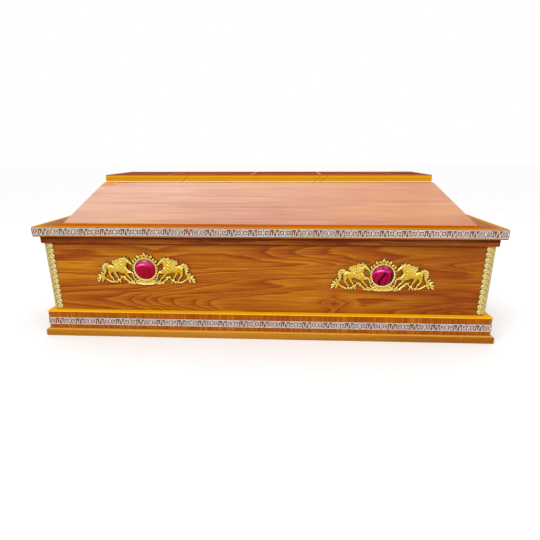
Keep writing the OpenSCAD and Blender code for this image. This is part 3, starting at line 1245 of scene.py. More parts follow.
@dataclass
class FretBand:
    """A shell-coloured key fret in four mitred strips.

    Attributes:
        node: The start of the CAD nodes' names.
        unit: The fret's grid, in metres.
        stroke: Width of a stroke.
        depth: How far the strokes stand above the strip.
        repeat: Length of one repeat, in grid units.
        widen: How much wider than tall the strokes are drawn.
        border: Width of the line along each edge.
    """

    node: str
    unit: float = 0.0038
    stroke: float = 0.0026
    depth: float = 0.0008
    repeat: float = 26.1
    widen: float = 1.033
    border: float = 0.0024

    SPIRAL = ((3, -3), (-3, -3), (-3, 3), (3, 3), (3, -1), (-0.9, -1), (-0.9, 1), (1, 1))
    KEY = ((-3.4, 1.2), (-3.4, -3), (-1.2, -3), (0.2, 3), (1.4, 3), (2.6, -3), (3.8, -3), (3.8, 1.2))
    BAR = ((12.5, -1.6), (12.5, 1.6))
    # how far each spiral is from the middle of its repeat, in grid units
    SPIRAL_AT = 8.6
    # how wide the top of a stroke is, and how far its ends reach, as shares of its foot
    CHAMFER = 0.62
    TOP_REACH = 0.7
    # the least cosine that a mitre is drawn with
    MITRE_LIMIT = 0.4
    # what the strokes leave free at the two ends of a strip, in metres
    END_GAP = 0.006
    LEAST_GAP = 0.004

    def motif(self) -> list[Path]:
        """The strokes of one repeat, in grid units from its middle.

        Returns:
            The left spiral, the key, the right spiral and the bar.
        """
        left = [(u - self.SPIRAL_AT, v) for u, v in self.SPIRAL]
        right = [(self.SPIRAL_AT - u, v) for u, v in self.SPIRAL]
        return [[(u * self.widen, v) for u, v in path] for path in (left, self.KEY, right, self.BAR)]

    def ribbon(self, path: Path, width: float, scale: float) -> tuple[list[tuple], list[tuple]]:
        """One stroke as a closed solid with chamfered sides.

        Args:
            path: The stroke's points.
            width: Its width, in metres.
            scale: Metres to one unit of the path.

        Returns:
            Points (along, up, out) and faces.
        """
        points = [Vector((u * scale, v * scale)) for u, v in path]
        rows: list[tuple] = []
        for i, point in enumerate(points):
            before = (point - points[i - 1]).normalized() if i else None
            after = (points[i + 1] - point).normalized() if i + 1 < len(points) else None
            way = ((before or after) + (after or before)).normalized()
            across = Vector((-way.y, way.x))
            lead = before or after
            reach = width / 2 / max(self.MITRE_LIMIT, abs(across.dot(Vector((-lead.y, lead.x)))))
            push = Vector((0.0, 0.0))
            if before is None:
                push = -after * width / 2
            if after is None:
                push = before * width / 2
            top = self.CHAMFER
            for share, out in ((1.0, 0.0), (top, self.depth), (-top, self.depth), (-1.0, 0.0)):
                spot = point + push * (1.0 if out == 0.0 else self.TOP_REACH) + across * reach * share
                rows.append((spot.x, spot.y, out))
        faces: list[tuple] = []
        for i in range(len(points) - 1):
            a = 4 * i
            for k in range(4):
                n = (k + 1) % 4
                faces.append((a + k, a + 4 + k, a + 4 + n, a + n))
        last = 4 * (len(points) - 1)
        faces.append((0, 1, 2, 3))
        faces.append((last + 3, last + 2, last + 1, last))
        return rows, faces

    def build(self) -> list[bpy.types.Object]:
        """Makes the four strips."""
        return [self.strip(side) for side in Side]

    def strip(self, side: Side) -> bpy.types.Object:
        """Makes one strip with its strokes.

        Args:
            side: Which side it is on.

        Returns:
            The strip.
        """
        node = f"{self.node}_{side.value}"
        low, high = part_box(node)
        axis = 0 if side.is_long else 1
        half = (high[axis] - low[axis]) / 2
        face = max(abs(low[1 - axis]), abs(high[1 - axis]))
        back = min(abs(low[1 - axis]), abs(high[1 - axis]))
        middle = (low.z + high.z) / 2
        tall = (high.z - low.z) / 2
        ground = face - self.depth
        work = bmesh.new()
        basis = side.basis()

        def add(points: Sequence[tuple], faces: Sequence[tuple], material: int) -> None:
            """Adds a closed solid.

            Args:
                points: Its points, as along, up and out.
                faces: Its faces, as places in the list of points.
                material: Which of the mesh's finishes it has.
            """
            verts = [work.verts.new(basis @ Vector(point) + UP * middle) for point in points]
            for item in faces:
                made = work.faces.new([verts[k] for k in item])
                made.material_index = material

        front_half = half - (face - ground)
        corners = ((-1, -1), (1, -1), (1, 1), (-1, 1))
        layers = ((half - (face - back), back), (front_half, ground))
        box = [(u * reach, v * tall, out) for reach, out in layers for u, v in corners]
        add(box, [(3, 2, 1, 0), (4, 5, 6, 7), (0, 1, 5, 4), (1, 2, 6, 5), (2, 3, 7, 6), (3, 0, 4, 7)], 0)
        for sign in (1.0, -1.0):
            edge = sign * (tall - self.border / 2)
            reach = front_half - self.border
            rows, faces = self.ribbon([(-reach, edge), (reach, edge)], self.border, 1.0)
            add([(u, v, w + ground) for u, v, w in rows], faces, 1)
        span = self.repeat * self.unit
        count = max(1, int((2 * front_half - self.LEAST_GAP) / span))
        stretch = (2 * front_half - self.END_GAP) / (count * span)
        for i in range(count):
            centre = (i - (count - 1) / 2) * span * stretch
            for path in self.motif():
                rows, faces = self.ribbon([(u * stretch, v) for u, v in path], self.stroke, self.unit)
                add([(u + centre, v, w + ground) for u, v, w in rows], faces, 1)
        bmesh.ops.recalc_face_normals(work, faces=work.faces[:])
        ground_wood, shell = BAND_GROUND.dress(side.pick(LONG_UP)), Shell("shell_strokes").dress()
        mesh = settle(work, f"{node}_fret", ground_wood, shell)
        return keep(mesh, f"{node}-fret", [node])


# ---------------------------------------------------------------- cast reliefs


def smooth_path(points: np.ndarray, steps: int) -> np.ndarray:
    """Rounds a path of rows through all its points.

    Args:
        points: One row a point, with any number of values.
        steps: How many rows each stretch becomes.

    Returns:
        The finer rows.
    """
    if len(points) < 3:
        return points
    padded = np.vstack([2 * points[0] - points[1], points, 2 * points[-1] - points[-2]])
    rows = []
    for i in range(1, len(padded) - 2):
        a, b, c, d = padded[i - 1 : i + 3]
        for t in np.linspace(0.0, 1.0, steps, endpoint=False):
            square, cube = 2 * a - 5 * b + 4 * c - d, 3 * b - a - 3 * c + d
            rows.append(0.5 * (2 * b + (c - a) * t + square * t * t + cube * t**3))
    rows.append(points[-1])
    return np.array(rows)


class Relief:
    """A height field over a flat seat, in millimetres, turned into one closed mesh."""

    # how many times the surroundings are blurred, and how much each difference counts
    TONE = ((6, 0.27), (40, 0.11))
    # how much painted shade darkens the relief along its outline
    OUTLINE_SHADE = 0.35
    # how far the outline's points are pulled onto it, in steps
    MOST_PULL = 0.7
    # the lowest that a groove is cut
    GROOVE_FLOOR = 1.2

    def __init__(self, low: tuple[float, float], high: tuple[float, float], step: float) -> None:
        """Makes an empty field.

        Args:
            low: Lower left corner.
            high: Upper right corner.
            step: Distance between the field's points.
        """
        self.low = low
        self.step = step
        self.xs = np.arange(low[0], high[0] + step, step)
        self.ys = np.arange(low[1], high[1] + step, step)
        self.gx, self.gy = np.meshgrid(self.xs, self.ys, indexing="ij")
        self.edge = np.full(self.gx.shape, NOWHERE)
        self.height = np.zeros(self.gx.shape)

    def window(self, low: np.ndarray, high: np.ndarray) -> tuple[slice, slice]:
        """The part of the field between two corners.

        Args:
            low: The lower left corner.
            high: The upper right corner.

        Returns:
            The rows and the columns of that part.
        """
        parts = []
        for axis in (0, 1):
            first = max(0, int((low[axis] - self.low[axis]) / self.step) - 2)
            parts.append(slice(first, max(first + 1, int((high[axis] - self.low[axis]) / self.step) + 3)))
        return parts[0], parts[1]

    def lay(self, part: tuple[slice, slice], gap: np.ndarray, raised: np.ndarray, margin: float) -> None:
        """Adds a raised shape to a part of the field.

        Args:
            part: The part of the field.
            gap: How far each point is outside the shape's outline.
            raised: The shape's height.
            margin: How far past the outline the height is laid, in steps.
        """
        self.edge[part] = np.minimum(self.edge[part], gap)
        higher = np.maximum(self.height[part], raised)
        self.height[part] = np.where(gap < margin * self.step, higher, self.height[part])

    def limb(
        self,
        path: Sequence[Sequence[float]],
        rise: float,
        shoulder: float = 0.45,
        strands: float = 0.0,
        strand_depth: float = 1.0,
        taper: float = 0.0,
    ) -> None:
        """Raises a rounded limb along a path of [x, y, radius] rows.

        Args:
            path: The limb's middle line and radii.
            rise: Height of its crown.
            shoulder: Height of its edge as a share of the rise.
            strands: How many grooves run along it.
            strand_depth: How deep the grooves are.
            taper: How much lower its far end is, as a share of the rise.
        """
        rows = smooth_path(np.array(path, float), 6)
        reach = rows[:, 2].max() + 3.0
        part = self.window(rows[:, :2].min(0) - reach, rows[:, :2].max(0) + reach)
        x, y = self.gx[part], self.gy[part]
        best = np.full(x.shape, NOWHERE)
        share = np.zeros(x.shape)
        place = np.zeros(x.shape)
        count = len(rows) - 1
        for i in range(max(1, count)):
            a = rows[i]
            b = rows[min(i + 1, count)]
            way = b[:2] - a[:2]
            length = float(way @ way) or 1e-9
            t = np.clip(((x - a[0]) * way[0] + (y - a[1]) * way[1]) / length, 0.0, 1.0)
            dx, dy = x - a[0] - t * way[0], y - a[1] - t * way[1]
            far = np.hypot(dx, dy)
            radius = a[2] + t * (b[2] - a[2])
            gap = far - radius
            closer = gap < best
            best = np.where(closer, gap, best)
            turn = np.sign(way[0] * dy - way[1] * dx)
            share = np.where(closer, turn * far / radius, share)
            place = np.where(closer, (i + t) / max(1, count), place)
        ratio = np.clip(np.abs(share), 0.0, 1.0)
        crown = rise * (1.0 - taper * place)
        raised = crown * (shoulder + (1.0 - shoulder) * np.sqrt(1.0 - ratio**2))
        if strands:
            raised -= strand_depth * (0.5 - 0.5 * np.cos(2 * math.pi * strands * share)) * (1.0 - ratio**4)
        self.lay(part, best, raised, 1.5)

    def bead(self, x: float, y: float, radius: float, base: float, round_up: float = 1.0) -> None:
        """Raises a bead.

        Args:
            x: Its middle.
            y: Its middle.
            radius: Its radius.
            base: The height that it stands on.
            round_up: Its own height as a share of its radius.
        """
        reach = radius + 2.0
        part = self.window(np.array([x - reach, y - reach]), np.array([x + reach, y + reach]))
        far = np.hypot(self.gx[part] - x, self.gy[part] - y)
        raised = base + round_up * radius * np.sqrt(np.clip(1.0 - (far / radius) ** 2, 0.0, 1.0))
        self.lay(part, far - radius, raised, 1.2)

    def carve(self, path: Sequence[Sequence[float]], depth: float) -> None:
        """Cuts a soft groove along a path of [x, y, half width] rows.

        Args:
            path: The groove's middle line and half widths.
            depth: Its depth at the middle.
        """
        rows = smooth_path(np.array(path, float), 5)
        reach = rows[:, 2].max() + 1.0
        part = self.window(rows[:, :2].min(0) - reach, rows[:, :2].max(0) + reach)
        x, y = self.gx[part], self.gy[part]
        cut = np.zeros(x.shape)
        for a, b in zip(rows[:-1], rows[1:]):
            way = b[:2] - a[:2]
            t = np.clip(((x - a[0]) * way[0] + (y - a[1]) * way[1]) / max(1e-9, float(way @ way)), 0.0, 1.0)
            far = np.hypot(x - a[0] - t * way[0], y - a[1] - t * way[1])
            cut = np.maximum(cut, 1.0 - np.clip(far / (a[2] + t * (b[2] - a[2])), 0.0, 1.0) ** 2)
        self.height[part] = np.maximum(self.height[part] - depth * cut, self.GROOVE_FLOOR)

    def mirror(self) -> None:
        """Copies what is left of the middle over to the right."""
        self.edge = np.minimum(self.edge, self.edge[::-1])
        self.height = np.maximum(self.height, self.height[::-1])

    def pierce(self, x: float, y: float, along: float, across: float, turn: float) -> None:
        """Cuts an oval hole through the relief.

        Args:
            x: Its middle.
            y: Its middle.
            along: Its half length.
            across: Its half width.
            turn: The way its length runs, in radians.
        """
        dx, dy = self.gx - x, self.gy - y
        u = (dx * math.cos(turn) + dy * math.sin(turn)) / along
        v = (dy * math.cos(turn) - dx * math.sin(turn)) / across
        hole = (np.hypot(u, v) - 1.0) * min(along, across)
        self.edge = np.maximum(self.edge, -hole)

    def tone(self) -> np.ndarray:
        """How proud each point is of what is round it.

        Returns:
            Values from 0 in a hollow or along the outline to 1 on a ridge.
        """
        inside = (self.edge < 0).astype(float)
        filled = self.height * inside
        level = np.full(filled.shape, 0.5)
        for passes, weight in self.TONE:
            broad, share = filled.copy(), inside.copy()
            for _ in range(passes):
                for spread in (broad, share):
                    side = spread[:-2, 1:-1] + spread[2:, 1:-1] + spread[1:-1, :-2] + spread[1:-1, 2:]
                    spread[1:-1, 1:-1] = 0.5 * spread[1:-1, 1:-1] + 0.125 * side
            level += weight * (filled - broad / np.maximum(share, 1e-3))
        # painted shade along the outline
        level -= self.OUTLINE_SHADE * np.clip(1.0 + self.edge / 2.0, 0.0, 1.0)
        return np.clip(level, 0.0, 1.0)

    def mesh(self, name: str, share: float, base: float = 0.0) -> bpy.types.Mesh:
        """Turns the field into a closed mesh in metres, thinned where it is flat.

        Args:
            name: The mesh's name.
            share: How much of the triangles is kept.
            base: Height of the back, in millimetres.

        Returns:
            The mesh, with how proud each point is in its relief attribute.
        """
        middle = 0.25 * (self.edge[:-1, :-1] + self.edge[1:, :-1] + self.edge[:-1, 1:] + self.edge[1:, 1:])
        cells = middle < 0.0
        here, across, right, over = cells[:-1, :-1], cells[1:, 1:], cells[1:, :-1], cells[:-1, 1:]
        # cells that meet at a corner only would pinch the mesh there, so one beside them is filled
        right |= here & across & ~right & ~over
        here |= right & over & ~here & ~across
        used = np.zeros(self.edge.shape, bool)
        full = np.ones(self.edge.shape, bool)
        for di in (0, 1):
            for dj in (0, 1):
                part = (slice(di, di + cells.shape[0]), slice(dj, dj + cells.shape[1]))
                used[part] |= cells
                full[part] &= cells
        full[0], full[-1], full[:, 0], full[:, -1] = False, False, False, False
        slope_x, slope_y = np.gradient(self.edge, self.step)
        steep = np.maximum(np.hypot(slope_x, slope_y), 0.3)
        rim = used & ~full
        most = self.MOST_PULL * self.step
        pull = np.where(rim, np.clip(self.edge, -most, most) / steep, 0.0)
        px, py = self.gx - pull * slope_x / steep, self.gy - pull * slope_y / steep
        index = np.full(self.edge.shape, -1)
        index[used] = np.arange(used.sum())
        count = int(used.sum())
        top = np.stack([px[used], py[used], np.maximum(self.height[used], base + 1.0)], 1)
        bottom = np.stack([px[used], py[used], np.full(count, base)], 1)
        a, b = index[:-1, :-1][cells], index[1:, :-1][cells]
        c, d = index[1:, 1:][cells], index[:-1, 1:][cells]
        faces = [np.stack([a, b, c, d], 1), np.stack([a, d, c, b], 1) + count]
        padded = np.pad(cells, 1)
        for di, dj, p, q in (
            (-1, 0, (0, 1), (0, 0)),
            (1, 0, (1, 0), (1, 1)),
            (0, -1, (0, 0), (1, 0)),
            (0, 1, (1, 1), (0, 1)),
        ):
            other = padded[1 + di : 1 + di + cells.shape[0], 1 + dj : 1 + dj + cells.shape[1]]
            i, j = np.nonzero(cells & ~other)
            start = index[i + p[0], j + p[1]]
            stop = index[i + q[0], j + q[1]]
            faces.append(np.stack([stop, start, start + count, stop + count], 1))
        rows = np.vstack([top, bottom]) * MM
        made = bpy.data.meshes.new(name)
        made.from_pydata(rows.tolist(), [], np.vstack(faces).tolist())
        made.update()
        return self.thin(made, share)

    def thin(self, mesh: bpy.types.Mesh, share: float) -> bpy.types.Mesh:
        """Thins a mesh where it is flat and writes the relief attribute.

        Args:
            mesh: The full mesh.
            share: How much of the triangles is kept.

        Returns:
            The thinner mesh.
        """
        holder = put("relief_holder", mesh)
        knife = holder.modifiers.new("thin", "DECIMATE")
        knife.ratio = share
        bpy.context.view_layer.update()
        depsgraph = bpy.context.evaluated_depsgraph_get()
        thinner = bpy.data.meshes.new_from_object(holder.evaluated_get(depsgraph))
        thinner.name = mesh.name + "_cast"
        bpy.data.objects.remove(holder)
        bpy.data.meshes.remove(mesh)
        spots = np.zeros(len(thinner.vertices) * 3)
        thinner.vertices.foreach_get("co", spots)
        spots = spots.reshape(-1, 3) / MM
        i = np.clip(np.round((spots[:, 0] - self.low[0]) / self.step).astype(int), 0, len(self.xs) - 1)
        j = np.clip(np.round((spots[:, 1] - self.low[1]) / self.step).astype(int), 0, len(self.ys) - 1)
        level = self.tone()[i, j]
        made = thinner.attributes.new("relief", "FLOAT", "POINT")
        made.data.foreach_set("value", level.astype(np.float32))
        soften(thinner, SMOOTH_CASTING)
        return thinner


@dataclass(frozen=True)
class Wall:
    """The leaning outer face of a chest board.

    Attributes:
        side: Which side it is.
        foot: Its distance from the middle of the coffin at its foot, in metres.
        foot_z: The height of its foot.
        lean: How far it leans outward, in radians.
    """

    side: Side
    foot: float
    foot_z: float
    lean: float

    @classmethod
    def of(cls, side: Side) -> "Wall":
        """Reads the face from the CAD board.

        Args:
            side: Which board.

        Returns:
            The face.
        """
        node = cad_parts[f"{side.pick(BOARDS)}_{side.value}"]
        spots = [(v.co.dot(side.outward), v.co.z) for v in node.data.vertices]
        low_z, high_z = min(z for _, z in spots), max(z for _, z in spots)
        foot = max(out for out, z in spots if abs(z - low_z) < SAME_HEIGHT)
        top = max(out for out, z in spots if abs(z - high_z) < SAME_HEIGHT)
        return cls(side, foot, low_z, math.atan2(top - foot, high_z - low_z))

    def out_at(self, z: float) -> float:
        """Distance of the face from the middle of the coffin at a height."""
        return self.foot + (z - self.foot_z) * math.tan(self.lean)

    def seat(self, along: float, z: float) -> Matrix:
        """The place and turn of something laid on the face.

        Args:
            along: How far right of the middle, seen from outside.
            z: Its height.

        Returns:
            A matrix whose axes are right, up the face and outward.
        """
        spot = self.side.along * along + UP * z + self.side.outward * self.out_at(z)
        return Matrix.Translation(spot) @ self.side.basis(self.lean).to_4x4()


PALE_GILT = Gilt("stamped_gilt", "54340a", "d4ba6a", "fffcd0", roughness=0.24, metal=0.3)
YELLOW_GILT = Gilt("cast_gilt", "6c3000", "e9bd10", "fffdb4", roughness=0.18, metal=0.42)


@dataclass
class CornerAngle:
    """A stamped gilt angle with a plain rail and a scalloped row of roundels.

    Attributes:
        width: Width of a flange, in millimetres.
        plain: Width of its plain rail.
        plate: Thickness of the plate.
        relief: Height of the ornament over the plate.
        roundels: How many roundels a flange has.
        step: Distance between the relief's points.
    """

    width: float = 38.0
    plain: float = 15.0
    plate: float = 2.5
    relief: float = 1.5
    roundels: int = 13
    step: float = 0.7

    LEAF = ((2.5, 0.62, 1.0), (8.0, 0.40, 2.3), (14.5, 0.1, 2.6), (19.0, 0.0, 1.2))
    SEED = ((8.5, 4.2, 1.2), (12.5, 5.0, 1.5), (16.0, 3.2, 0.8))

    def flange(self, tall: float, mirrored: bool) -> bpy.types.Mesh:
        """One flange with the corner at zero and the ornament to its right.

        Args:
            tall: Its height, in millimetres.
            mirrored: True where the ornament is to the left.

        Returns:
            The flange's mesh, from the corner's foot.
        """
        work = Relief((-self.plate - 1.0, -1.0), (self.width + 1.0, tall + 1.0), self.step)
        pitch = tall / self.roundels
        radius = pitch / 2 + 0.9
        centre = self.width - radius
        high = self.plate + self.relief
        body = (work.gx < self.plain) & (work.gx > -self.plate) & (work.gy > 0) & (work.gy < tall)
        middle, half = (self.plain - self.plate) / 2, (self.plain + self.plate) / 2
        gap = np.maximum(np.abs(work.gx - middle) - half, -work.gy)
        work.edge = np.maximum(gap, work.gy - tall)
        rail = self.plate * 0.72 + 0.55 * np.cos(2 * math.pi * (work.gx - 2.0) / 6.5)
        work.height = np.where(body | (gap < 1.0), rail, 0.0)
        for i in range(self.roundels):
            y = (i + 0.5) * pitch
            work.limb([[centre, y, radius], [centre, y + 0.1, radius]], self.plate * 0.85, 0.8)
            ring = []
            for k in range(15):
                angle = -2.2 + k * 0.44
                r = radius * (0.86 - 0.052 * k)
                ring.append([centre + r * math.cos(angle), y + r * math.sin(angle), 1.9 - 0.06 * k])
            work.limb(ring, high, 0.35)
            work.bead(centre, y, 2.6, self.plate, 0.5)
            leaf = [[x, y - pitch * drop, r] for x, drop, r in self.LEAF]
            work.limb(leaf, high, 0.3, strands=1.0, strand_depth=0.7)
            if i:
                seed_y = y - pitch / 2
                work.limb([[x, seed_y + lift, r] for x, lift, r in self.SEED], high - 0.3, 0.3)
        for x, r in ((-self.plate + 1.2, 1.3), (3.4, 0.9)):
            work.limb([[x, 1.2, r], [x, tall - 1.2, r]], high - (0.0 if x < 0 else 0.4), 0.5)
        for i in range(int(tall / 4.0)):
            work.bead(0.9, 2.0 + i * 4.0, 1.25, self.plate - 0.3, 0.8)
        work.height = np.minimum(work.height, high)
        if mirrored:
            work.gx = -work.gx[::-1]
            work.xs = -work.xs[::-1]
            work.low = (float(work.xs[0]), work.low[1])
            work.edge, work.height = work.edge[::-1], work.height[::-1]
        return work.mesh(f"flange_{'left' if mirrored else 'right'}", 0.3)

    def build(self) -> list[bpy.types.Object]:
        """Makes the four angles, each of two flanges.

        Returns:
            The angles.
        """
        made = []
        low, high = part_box("corner_angle_front_head")
        walls = {side: Wall.of(side) for side in Side}
        lean = walls[Side.FRONT].lean
        tall = (high.z - low.z) / MM / math.cos(lean)
        right, left = self.flange(tall, False), self.flange(tall, True)
        for long_side in (Side.FRONT, Side.BACK):
            for end in (Side.HEAD, Side.FOOT):
                work = bmesh.new()
                for side, other in ((long_side, end), (end, long_side)):
                    toward = side.along.dot(other.outward)
                    shape = (left if toward > 0 else right).copy()
                    shape.transform(self.place(walls[side], walls[other], low.z, toward))
                    work.from_mesh(shape)
                corner = f"{long_side.value}_{end.value}"
                mesh = settle(work, f"angle_{corner}", PALE_GILT.dress())
                node = f"corner_angle_{corner}"
                made.append(keep(mesh, f"{node}-stamped", [node]))
        return made

    def place(self, wall: Wall, other: Wall, z: float, toward: float) -> Matrix:
        """The turn of a flange on one wall, with its rail along the corner's edge.

        Args:
            wall: The wall it lies on.
            other: The wall round the corner.
            z: The height of its foot.
            toward: Positive where the corner is on the right.

        Returns:
            The flange's matrix.
        """
        seat = wall.seat(math.copysign(other.out_at(z), toward), z)
        tilt = Matrix.Rotation(-math.copysign(other.lean, toward), 4, "Z")
        return seat @ tilt


@dataclass
class Fitting:
    """A cast fitting: a round stone setting between two rearing horses over a leafy scroll.

    Attributes:
        step: Distance between the relief's points, in millimetres.
        stone: Radius of the stone.
        seat: Thickness under the stone.
        dome: How far the stone rises above its seat.
        stretch_from: How far from the middle the horses start to be drawn out.
        stretch: How much they are drawn out.
        mane_foot: The height over the stone's middle from which the horses are lowered.
        squat: How much of the height above it is left.
        crest: Height of the casting's highest part.
        rng: Gives the locks of hair their small differences.
    """

    step: float = 0.8
    stone: float = 51.5
    seat: float = 4.0
    dome: float = 17.0
    stretch_from: float = 60.0
    stretch: float = 1.075
    mane_foot: float = 30.0
    squat: float = 0.72
    crest: float = 17.0
    rng: np.random.Generator = field(default_factory=lambda: np.random.default_rng(11))

    BODY = [[-162, 5, 18], [-150, 1, 18], [-128, 2, 17], [-108, -3, 19], [-98, -6, 18]]
    NECK = [[-112, 2, 18], [-102, 22, 15], [-92, 40, 11], [-84, 48, 9]]
    HEAD = [[-86, 49, 11], [-78, 42, 9.5], [-71, 34, 7.0], [-67, 29, 5.6]]
    TAIL = [[-168, 12, 7], [-178, 20, 11], [-188, 18, 12], [-192, 5, 11], [-191, -10, 8], [-190, -22, 4]]
    RAISED = [
        [-98, -10, 10],
        [-82, -15, 6.5],
        [-66, -16, 4.6],
        [-61, -28, 3.6],
        [-58, -40, 3.2],
        [-52, -52, 4.4],
    ]
    FORE = [[-98, -16, 9], [-88, -34, 5], [-78, -44, 4], [-72, -52, 3.4], [-66, -60, 4.2]]
    HIND = [[-165, -2, 14], [-170, -24, 7], [-164, -38, 4.6], [-156, -48, 4], [-152, -62, 4.4]]
    FAR = [[-152, -8, 10], [-142, -28, 5.5], [-134, -42, 4], [-130, -54, 4.2]]
    # how much of the casting's triangles is kept
    KEPT = 0.32
    # where the mane's lowering is whole, in millimetres past stretch_from
    LOWER_OVER = 10.0
    HAUNCH = [[-168, 6, 10], [-160, 10, 12], [-152, 4, 9]]
    BREAST = [[-106, -10, 10], [-98, -4, 11], [-94, 6, 8]]
    CHEEK = [[-80, 45, 4.5], [-74, 38, 4.0]]
    EAR = [[-86, 55, 3.2], [-84, 62, 2.2], [-83, 66, 1.2]]
    EYE = (-75.5, 41.0, 1.7)
    MOUTH = [[-70, 26, 0.8], [-66, 28, 0.8]]
    NOSTRIL = [[-68.5, 31, 0.8], [-67, 30, 0.8]]
    JAW = [[-83, 33, 1.0], [-77, 30, 1.2], [-73, 25, 0.8]]
    STRAP = [[-92, 2, 4.0], [-82, -6, 3.4], [-70, -8, 2.4]]
    RIBS = 5
    BEZEL_BEADS = 44
    BEZEL_LOBES = 26
    CURLS = 10
    HOOVES = ((-52, -54), (-66, -62), (-152, -65), (-129, -57))
    CROWN = (
        (0.0, 24.5, 9.5),
        (14.0, 17.0, 6.5),
        (27.0, 20.0, 8.5),
        (41.0, 14.0, 6.0),
        (53.0, 16.0, 7.5),
        (68.0, 12.0, 6.0),
    )
    TAIL_LOCKS = (
        (-170, 16, 1.0),
        (-176, 22, 1.4),
        (-182, 24, 1.9),
        (-188, 22, 2.4),
        (-192, 14, 2.9),
        (-194, 4, 3.4),
        (-193, -6, 4.0),
        (-190, -14, 4.5),
    )
    MANE_MASS = (
        ([[-149, 30, 8], [-138, 42, 10], [-124, 50, 10], [-110, 55, 10], [-97, 58, 8], [-86, 57, 6]], 10.0),
        ([[-138, 22, 11], [-124, 30, 14], [-108, 40, 12]], 12.5),
        ([[-134, 12, 10], [-118, 18, 13], [-106, 24, 12]], 14.0),
    )
    MANE_ROWS = (
        ((-90, 64), (-76, 54), 4, 1.9, 15.0),
        ((-150, 44), (-98, 66), 7, 2.2, 13.5),
        ((-144, 28), (-90, 52), 9, 2.4, 15.0),
        ((-138, 18), (-92, 42), 8, 2.6, 16.2),
        ((-130, 8), (-94, 30), 7, 2.8, 17.0),
        ((-122, 0), (-98, 16), 5, 3.1, 17.0),
    )
    OUTER = [
        [-216, -36, 7],
        [-196, -46, 4.4],
        [-180, -58, 5],
        [-162, -66, 5],
        [-140, -62, 4.4],
        [-122, -50, 4.2],
        [-112, -38, 5.6],
    ]
    INNER = [[-104, -40, 4.2], [-92, -56, 5], [-76, -69, 6], [-57, -72, 6.6], [-43, -63, 5.2], [-30, -58, 5]]
    LEAVES = (
        (-204, -30, 1.90, 15, 6.4),
        (-199, -30, 1.00, 13, 5.2),
        (-210, -38, 2.60, 18, 6.4),
        (-213, -46, 3.40, 19, 6.6),
        (-216, -54, 3.80, 20, 5.2),
        (-204, -50, 4.40, 16, 5.6),
        (-206, -40, 0.1, 13, 3.8),
        (-134, -58, 4.3, 14, 4.0),
        (-128, -56, 5.2, 16, 4.4),
        (-118, -46, 1.3, 15, 4.0),
        (-112, -40, 2.3, 12, 3.4),
        (-96, -52, 2.9, 12, 3.2),
        (-74, -68, 3.3, 15, 4.0),
        (-60, -70, 1.4, 14, 3.8),
        (-44, -62, 2.1, 13, 3.6),
        (-50, -66, 5.6, 13, 3.4),
    )
    BERRIES = ((-214, -38, 4.6), (-126, -56, 3.6), (-71, -67, 4.0), (-50, -66, 3.4), (-160, -66, 2.6))
    SHELL_RIM = (
        (-40, -60, 2.6),
        (-46, -70, 3.2),
        (-30, -75, 3.0),
        (0, -76, 3.0),
        (30, -75, 3.0),
        (46, -70, 3.2),
        (40, -60, 2.6),
    )

    def horse(self, work: Relief) -> None:
        """Raises the left horse: legs first, then body, neck and head.

        Args:
            work: The relief to add to.
        """
        for leg, rise in ((self.FAR, 9.0), (self.FORE, 9.5), (self.HIND, 11.0), (self.RAISED, 12.5)):
            work.limb(leg, rise, 0.4)
        for x, y in self.HOOVES:
            work.limb([[x - 3, y + 2, 4.2], [x + 3, y - 1, 4.8]], 10.5, 0.6)
        work.limb(self.BODY, 14.0, 0.3)
        work.limb(self.HAUNCH, 16.0, 0.35)
        work.limb(self.BREAST, 16.0, 0.35)
        work.limb(self.NECK, 15.0, 0.35)
        for k in range(self.RIBS):
            x = -146 + 8.5 * k
            work.carve([[x, 14, 1.0], [x + 2.5, 2, 1.3], [x + 1, -8, 0.9]], 1.1)
        work.limb(self.HEAD, 16.0, 0.45)
        work.limb(self.CHEEK, 17.0, 0.5)
        work.limb(self.EAR, 15.5, 0.4)
        work.bead(*self.EYE, 15.6, 0.9)
        for line, depth in ((self.MOUTH, 2.0), (self.NOSTRIL, 1.6), (self.JAW, 1.8)):
            work.carve(line, depth)
        work.limb(self.STRAP, 15.0, 0.4)

    def hair(self, work: Relief) -> None:
        """Raises the mane's curls and the tail's locks.

        Args:
            work: The relief to add to.
        """
        work.limb(self.TAIL, 10.5, 0.35, strands=3.0, strand_depth=2.2)
        for x, y, turn in self.TAIL_LOCKS:
            curl = -0.05 - 0.03 * turn
            path = self.lock((x, y), turn, 21.0 - 1.5 * turn, curl, 4.4)
            work.limb(path, 13.5, 0.3, strands=1.0, strand_depth=1.6, taper=0.25)
        for path, rise in self.MANE_MASS:
            work.limb(path, rise, 0.4)
        for first, last, count, way, rise in self.MANE_ROWS:
            for k in range(count):
                t = k / max(1, count - 1)
                x = first[0] + t * (last[0] - first[0]) + self.rng.uniform(-1.5, 1.5)
                y = first[1] + t * (last[1] - first[1]) + self.rng.uniform(-1.5, 1.5)
                turn = way + self.rng.uniform(-0.4, 0.4)
                curl = self.rng.uniform(0.09, 0.15) * (1 if k % 2 else -1)
                path = self.lock((x, y), turn, self.rng.uniform(14.0, 21.0), curl, self.rng.uniform(3.4, 5.0))
                crown = rise + self.rng.uniform(-1.0, 0.4)
                work.limb(path, crown, 0.15, strands=1.0, strand_depth=2.2, taper=0.3)

